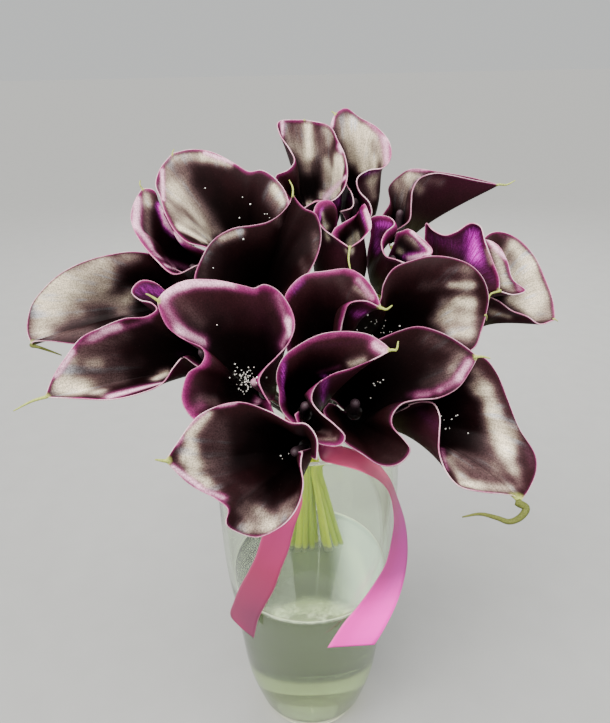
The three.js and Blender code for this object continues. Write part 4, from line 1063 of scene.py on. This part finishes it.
# Vase
# A blown vase of clear glass, widest near the top, with an even wall, a fire-polished rim and a thick
# base. A painted highlight glows along the rim and in the thick base.
FOOT_RADIUS = 30
VASE_RADIUS = 60
GLASS_WALL = 3.4
GLASS_BASE = 12
OUTSIDE = [  # radius and height
    (FOOT_RADIUS, 0), (34.5, 1.5), (38, 6), (42, 14), (49, 42), (52.5, 75), (55.5, 110), (58, 132),
    (59.5, 155), (VASE_RADIUS, 180), (VASE_RADIUS, 215), (59, 245), (58, 260),
]
ROUND = 128


def profile_line(points, spacing):
    """The profile's points in the XZ plane, in metres, with smooth curves between them."""
    return even_points([Vector((radius, 0, height)) * MM for radius, height in points], spacing * MM)


def spun(name, profile):
    """A profile that starts and ends on the axis, spun about it."""
    bpy.ops.object.select_all(action="DESELECT")
    bpy.ops.mesh.primitive_circle_add(vertices=len(profile), radius=1)
    made = bpy.context.object
    made.name = name
    for vertex, point in zip(made.data.vertices, profile):
        vertex.co = point
    closing = {0, len(profile) - 1}
    for vertex in made.data.vertices:
        vertex.select = vertex.index in closing
    for edge in made.data.edges:
        edge.select = set(edge.vertices) == closing
    bpy.context.tool_settings.mesh_select_mode = (False, True, False)
    bpy.ops.object.mode_set(mode="EDIT")
    bpy.ops.mesh.delete(type="EDGE")
    bpy.ops.object.mode_set(mode="OBJECT")
    apply_modifier(made, "SCREW", angle=math.tau, steps=ROUND, render_steps=ROUND, use_merge_vertices=True,
                   merge_threshold=1e-6)
    bpy.ops.object.mode_set(mode="EDIT")
    bpy.ops.mesh.select_all(action="SELECT")
    bpy.ops.mesh.remove_doubles(threshold=1e-6)
    bpy.ops.mesh.normals_make_consistent(inside=False)
    bpy.ops.object.mode_set(mode="OBJECT")
    bpy.ops.object.shade_smooth()
    return made


side = profile_line(OUTSIDE[3:], 6)
foot_curve = profile_line(OUTSIDE[:4], 2)
outer = [Vector((0, 0, 0))] + [Vector((r * MM, 0, 0)) for r in (10, 20, 27)] + foot_curve + side[1:]
rim_radius, rim_height = OUTSIDE[-1]
centre = Vector((rim_radius - GLASS_WALL / 2, 0, rim_height)) * MM
rim_round = []
for i in range(1, 8):
    angle = math.pi * i / 8
    rim_round.append(centre + Vector((math.cos(angle), 0, math.sin(angle))) * GLASS_WALL / 2 * MM)
inner = [point - Vector((GLASS_WALL * MM, 0, 0)) for point in reversed(side) if point.z > 20 * MM]
well = [(41, 17), (37, 14.2), (30, 12.9), (20, 12.3), (10, GLASS_BASE), (0, GLASS_BASE)]
vase_profile = outer + rim_round + inner + [Vector((radius, 0, height)) * MM for radius, height in well]
vase = spun("vase_glass", vase_profile)
glass_finish = Finish("vase_glass")
glass_place = glass_finish.node("TexCoord", {}, {}).of("Object")
blown = glass_finish.node("TexNoise", {}, {"Vector": glass_place, "Scale": 14, "Detail": 1})
glass_height = glass_finish.node("SeparateXYZ", {}, {0: glass_place}).of("Z")
# Painted highlights, given as emission: a bright line round the rim and a bright glow in the thick base.
painted_glass_glow = glass_finish.mix(glass_height.ramp(0.2604, 0.2612), (0.0, 0.0, 0.0), (0.50, 0.49, 0.38))
painted_glass_glow = glass_finish.mix(1 - glass_height.ramp(0.006, 0.013), painted_glass_glow, (1.25, 1.28, 0.85))
grazing = glass_finish.node("LayerWeight", {}, {"Blend": 0.35}).of("Facing")
clear = glass_finish.mix(grazing.ramp(0.45, 0.92), (0.90, 0.97, 0.84), (0.24, 0.36, 0.18))
glass_finish.set(Base_Color=clear, Roughness=0.01, Normal=glass_finish.bump(blown, 0.08, 0.004))
glass_finish.set(Transmission_Weight=1.0, IOR=1.47, Emission_Color=painted_glass_glow, Emission_Strength=1.0)
vase.data.materials.append(glass_finish.material)
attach(vase, "root")
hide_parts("vase")

# Water
# Clear water fills the vase a little over half way. It creeps up the glass in a fine meniscus, whose
# ring of light is a painted highlight, and its surface glows with a painted reflection of the bright room
# behind.
WATER_LEVEL = 139
SURFACE_DROP = 2.0
MENISCUS = [(0.0, 0.0), (1.2, 1.2), (3.0, 1.8), (7.0, SURFACE_DROP)]  # in from the glass, and down
OVERLAP = 0.2  # into the glass, so that no air shows between them
water_side = [point for point in inner if point.z < WATER_LEVEL * MM][::-1]
level = WATER_LEVEL * MM
edge_radius = water_side[-1].x + OVERLAP * MM
water_outer = [Vector((radius, 0, height - OVERLAP)) * MM for radius, height in reversed(well)]
water_outer += [point + Vector((OVERLAP * MM, 0, 0)) for point in water_side]
water_top = [Vector((edge_radius - back * MM, 0, level - drop * MM)) for back, drop in MENISCUS]
water_top += [Vector((radius * MM, 0, level - SURFACE_DROP * MM)) for radius in (35, 20, 10, 0)]
water = spun("water_body", water_outer + water_top)
water_finish = Finish("water")
water_place = water_finish.node("TexCoord", {}, {}).of("Object")
ripple = water_finish.node("TexNoise", {}, {"Vector": water_place, "Scale": 22, "Detail": 1})
water_parts = water_finish.node("SeparateXYZ", {}, {0: water_place})
water_height, water_depth = water_parts.of("Z"), water_parts.of("Y")
# Painted highlights and reflection, given as emission: a bright meniscus ring, brightest at the front, and a
# surface lighter on the right and sparkling at the front.
glint = water_finish.mix(water_depth.ramp(-0.045, 0.0), (1.1, 1.15, 0.9), (0.55, 0.60, 0.46))
shine = water_finish.mix(water_parts.ramp(0.012, 0.036), (0.05, 0.06, 0.05), (0.80, 1.0, 0.82))
sparkle = water_finish.node("TexNoise", {}, {"Vector": water_place, "Scale": 150, "Detail": 3})
sparkle = water_finish.mix(sparkle.ramp(0.40, 0.70), (0.22, 0.25, 0.18), (0.85, 0.90, 0.66))
shine = water_finish.mix(water_depth.ramp(-0.052, -0.036), sparkle, shine)
lit = water_finish.mix(water_height.ramp(0.1366, 0.1369), (0.0, 0.0, 0.0), shine)
lit = water_finish.mix(water_height.ramp(0.1378, 0.1384), lit, glint)
water_finish.set(Base_Color=(0.30, 0.34, 0.25), Roughness=0.0, Normal=water_finish.bump(ripple, 0.03, 0.002))
water_finish.set(Transmission_Weight=1.0, IOR=1.33, Emission_Color=lit, Emission_Strength=1.0)
water.data.materials.append(water_finish.material)
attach(water, "root")
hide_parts("water")

# Ribbon
# Pink satin ribbon is bound round the stems. From its front, two tails fall over the rim and lie down
# the glass in loose curves.
RIBBON_WIDTH = 18
RIBBON_THICKNESS = 0.4
RIBBON_STEP = 1.5
STRANDS = 10
BAND_RADIUS = 13.4
BAND_ROWS = 12
BAND_STEPS = 96

# Points along the right and the left edge of each tail, in millimetres, from the tie to the cut end.
TAIL_RIGHT = [
    ((7.1, -17.4, 262.6), (5.0, -23.4, 253.5)),
    ((9.0, -33.8, 265.9), (6.4, -43.0, 260.4)),
    ((13.1, -45.3, 266.9), (8.7, -59.6, 265.1)),
    ((20.3, -47.8, 266.4), (14.8, -61.7, 264.5)),
    ((28.0, -50.7, 265.1), (21.3, -65.8, 265.3)),
    ((34.2, -50.5, 260.8), (27.7, -66.6, 263.4)),
    ((40.6, -46.1, 252.7), (34.7, -62.6, 256.7)),
    ((46.5, -39.8, 241.6), (40.5, -55.6, 247.9)),
    ((51.3, -34.0, 229.8), (45.6, -49.0, 237.8)),
    ((55.4, -28.8, 216.5), (49.7, -43.1, 225.7)),
    ((59.5, -25.2, 203.2), (52.3, -38.8, 212.6)),
    ((62.8, -24.5, 191.0), (53.5, -36.8, 200.3)),
    ((64.8, -25.2, 178.2), (53.0, -35.1, 187.5)),
    ((65.0, -29.0, 166.2), (51.5, -36.0, 176.6)),
    ((63.2, -35.0, 157.2), (48.8, -39.2, 168.8)),
    ((60.2, -41.9, 151.1), (44.0, -43.1, 162.0)),
    ((55.4, -50.4, 145.2), (38.0, -47.2, 154.7)),
    ((49.8, -56.1, 136.6), (30.8, -51.2, 146.4)),
    ((44.5, -59.7, 127.9), (20.9, -56.0, 135.5)),
    ((41.1, -60.6, 121.6), (10.7, -61.1, 120.4)),
]
TAIL_LEFT = [
    ((-6, -13.6, 264), (-8, -12.6, 249)), ((-9, -32, 266), (-15, -31, 257)),
    ((-10, -50, 265), (-24, -45, 263)), ((-10, -59, 264), (-27, -52.5, 264)),
    ((-8, -62.5, 256), (-24, -57.5, 253)), ((-3, -63, 243), (-19, -60.5, 238)),
    ((-8, -63, 222), (-26, -58, 216)), ((-12, -62, 204), (-32, -55, 194)),
    ((-17, -61, 188), (-38, -51, 177)), ((-22, -59, 170), (-44, -46, 161)),
    ((-28, -56, 154), (-50, -41, 142)), ((-34, -52, 136), (-54, -37, 123)),
    ((-38, -49, 116), (-47, -43, 119)),
]

# The satin's pinks, from its shaded folds to its brightest sheen. The satin is of one pink: its darker tones
# are painted shade and its brightest are painted sheen.
SHADE = (0.15, 0.018, 0.06)
SHADED_ROSE = (0.29, 0.02, 0.08)
ROSE = (0.45, 0.035, 0.16)
MAUVE = (0.36, 0.035, 0.22)
LIT_CORAL = (1.0, 0.12, 0.28)
LIT_ORCHID = (1.0, 0.022, 0.55)


def satin_finish(name, tones):
    """Pink satin that takes these tones along its length: pairs of a place from 0 to 1 and a tone."""
    finish = Finish(name)
    uv = finish.node("UVMap", {"uv_map": "UVMap"}, {})
    parts = finish.node("SeparateXYZ", {}, {0: uv})
    across, along = parts, parts.of("Y")
    weave_map = finish.node("Mapping", {}, {"Vector": uv, "Scale": (60.0, 900.0, 1.0)})
    weave = finish.node("TexNoise", {}, {"Vector": weave_map, "Scale": 1, "Detail": 2})
    fold_map = finish.node("Mapping", {}, {"Vector": uv, "Scale": (3.0, 8.0, 1.0)})
    fold = finish.node("TexNoise", {}, {"Vector": fold_map, "Scale": 1, "Detail": 2})
    pink = finish.node("ValToRGB", {"stops": tones}, {"Fac": along + (fold - 0.5) * 0.04})
    # Painted shade: the satin a shade deeper towards one edge.
    pink = finish.mix((across + (fold - 0.5) * 0.3).ramp(0.15, 0.85) * 0.3, pink, SHADED_ROSE)
    pink = finish.mix((weave - 0.35) * 0.12, pink, (1.0, 0.35, 0.60))
    selvedge = 1 - (across * (1 - across)).ramp(0.0, 0.03)
    pink = finish.mix(selvedge * 0.25, pink, (1.0, 0.30, 0.55))
    finish.set(Base_Color=pink, Roughness=0.38, Normal=finish.bump(weave, 0.2, 0.0002))
    finish.set(Specular_IOR_Level=0.2, Anisotropic=0.5)
    return finish.material


def ribbon_tail(name, edges, material, node):
    """A tail of ribbon between its right and left edges."""
    sides = [[Vector(place) * MM for place in side] for side in zip(*edges)]
    right, left = (even_points(side, RIBBON_STEP * MM) for side in sides)
    count = len(right) - 1
    left = [left[round(i * (len(left) - 1) / count)] for i in range(count + 1)]
    rows = [[a.lerp(b, s / STRANDS) for s in range(STRANDS + 1)] for a, b in zip(right, left)]
    middle = [row[STRANDS // 2] for row in rows]
    length = sum((q - p).length for p, q in zip(middle, middle[1:]))
    tail = grid_object(name, rows)
    tail.data.materials.append(material)
    apply_modifier(tail, "SOLIDIFY", thickness=RIBBON_THICKNESS * MM, offset=0)
    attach(tail, "root")
    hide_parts(node)


right_tones = [
    (0.0, ROSE), (0.13, ROSE), (0.18, LIT_CORAL), (0.28, LIT_CORAL), (0.42, SHADED_ROSE), (0.62, MAUVE), (0.76, MAUVE),
    (0.90, LIT_ORCHID), (1.0, LIT_ORCHID),
]
left_tones = [(0.0, LIT_CORAL), (0.28, LIT_CORAL), (0.45, ROSE), (0.65, SHADED_ROSE), (0.88, SHADE), (1.0, SHADE)]
satin_right = satin_finish("satin_tail_right", right_tones)
satin_left = satin_finish("satin_tail_left", left_tones)
ribbon_tail("satin_tail_right", TAIL_RIGHT, satin_right, "ribbon_tail_right")
ribbon_tail("satin_tail_left", TAIL_LEFT, satin_left, "ribbon_tail_left")

band_rows = []
for i in range(BAND_ROWS + 1):
    height = TIE_HEIGHT + RIBBON_WIDTH * (i / BAND_ROWS - 0.5)
    row = []
    for step in range(BAND_STEPS + 1):
        angle = math.tau * step / BAND_STEPS
        radius = BAND_RADIUS + 0.35 * math.sin(5 * angle + 0.5 * i) + 0.2 * math.sin(13 * angle)
        row.append(Vector((radius * math.cos(angle), radius * math.sin(angle), height)) * MM)
    band_rows.append(row)
band = grid_object("satin_band", band_rows)
bpy.ops.object.mode_set(mode="EDIT")
bpy.ops.mesh.select_all(action="SELECT")
bpy.ops.mesh.remove_doubles(threshold=1e-7)
bpy.ops.object.mode_set(mode="OBJECT")
band_tones = [(0.0, ROSE), (0.25, SHADED_ROSE), (0.5, ROSE), (0.75, SHADED_ROSE), (1.0, ROSE)]
band.data.materials.append(satin_finish("satin_band", band_tones))
apply_modifier(band, "SOLIDIFY", thickness=RIBBON_THICKNESS * MM, offset=0)
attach(band, "root")
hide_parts("ribbon_band")

bpy.ops.object.select_all(action="DESELECT")
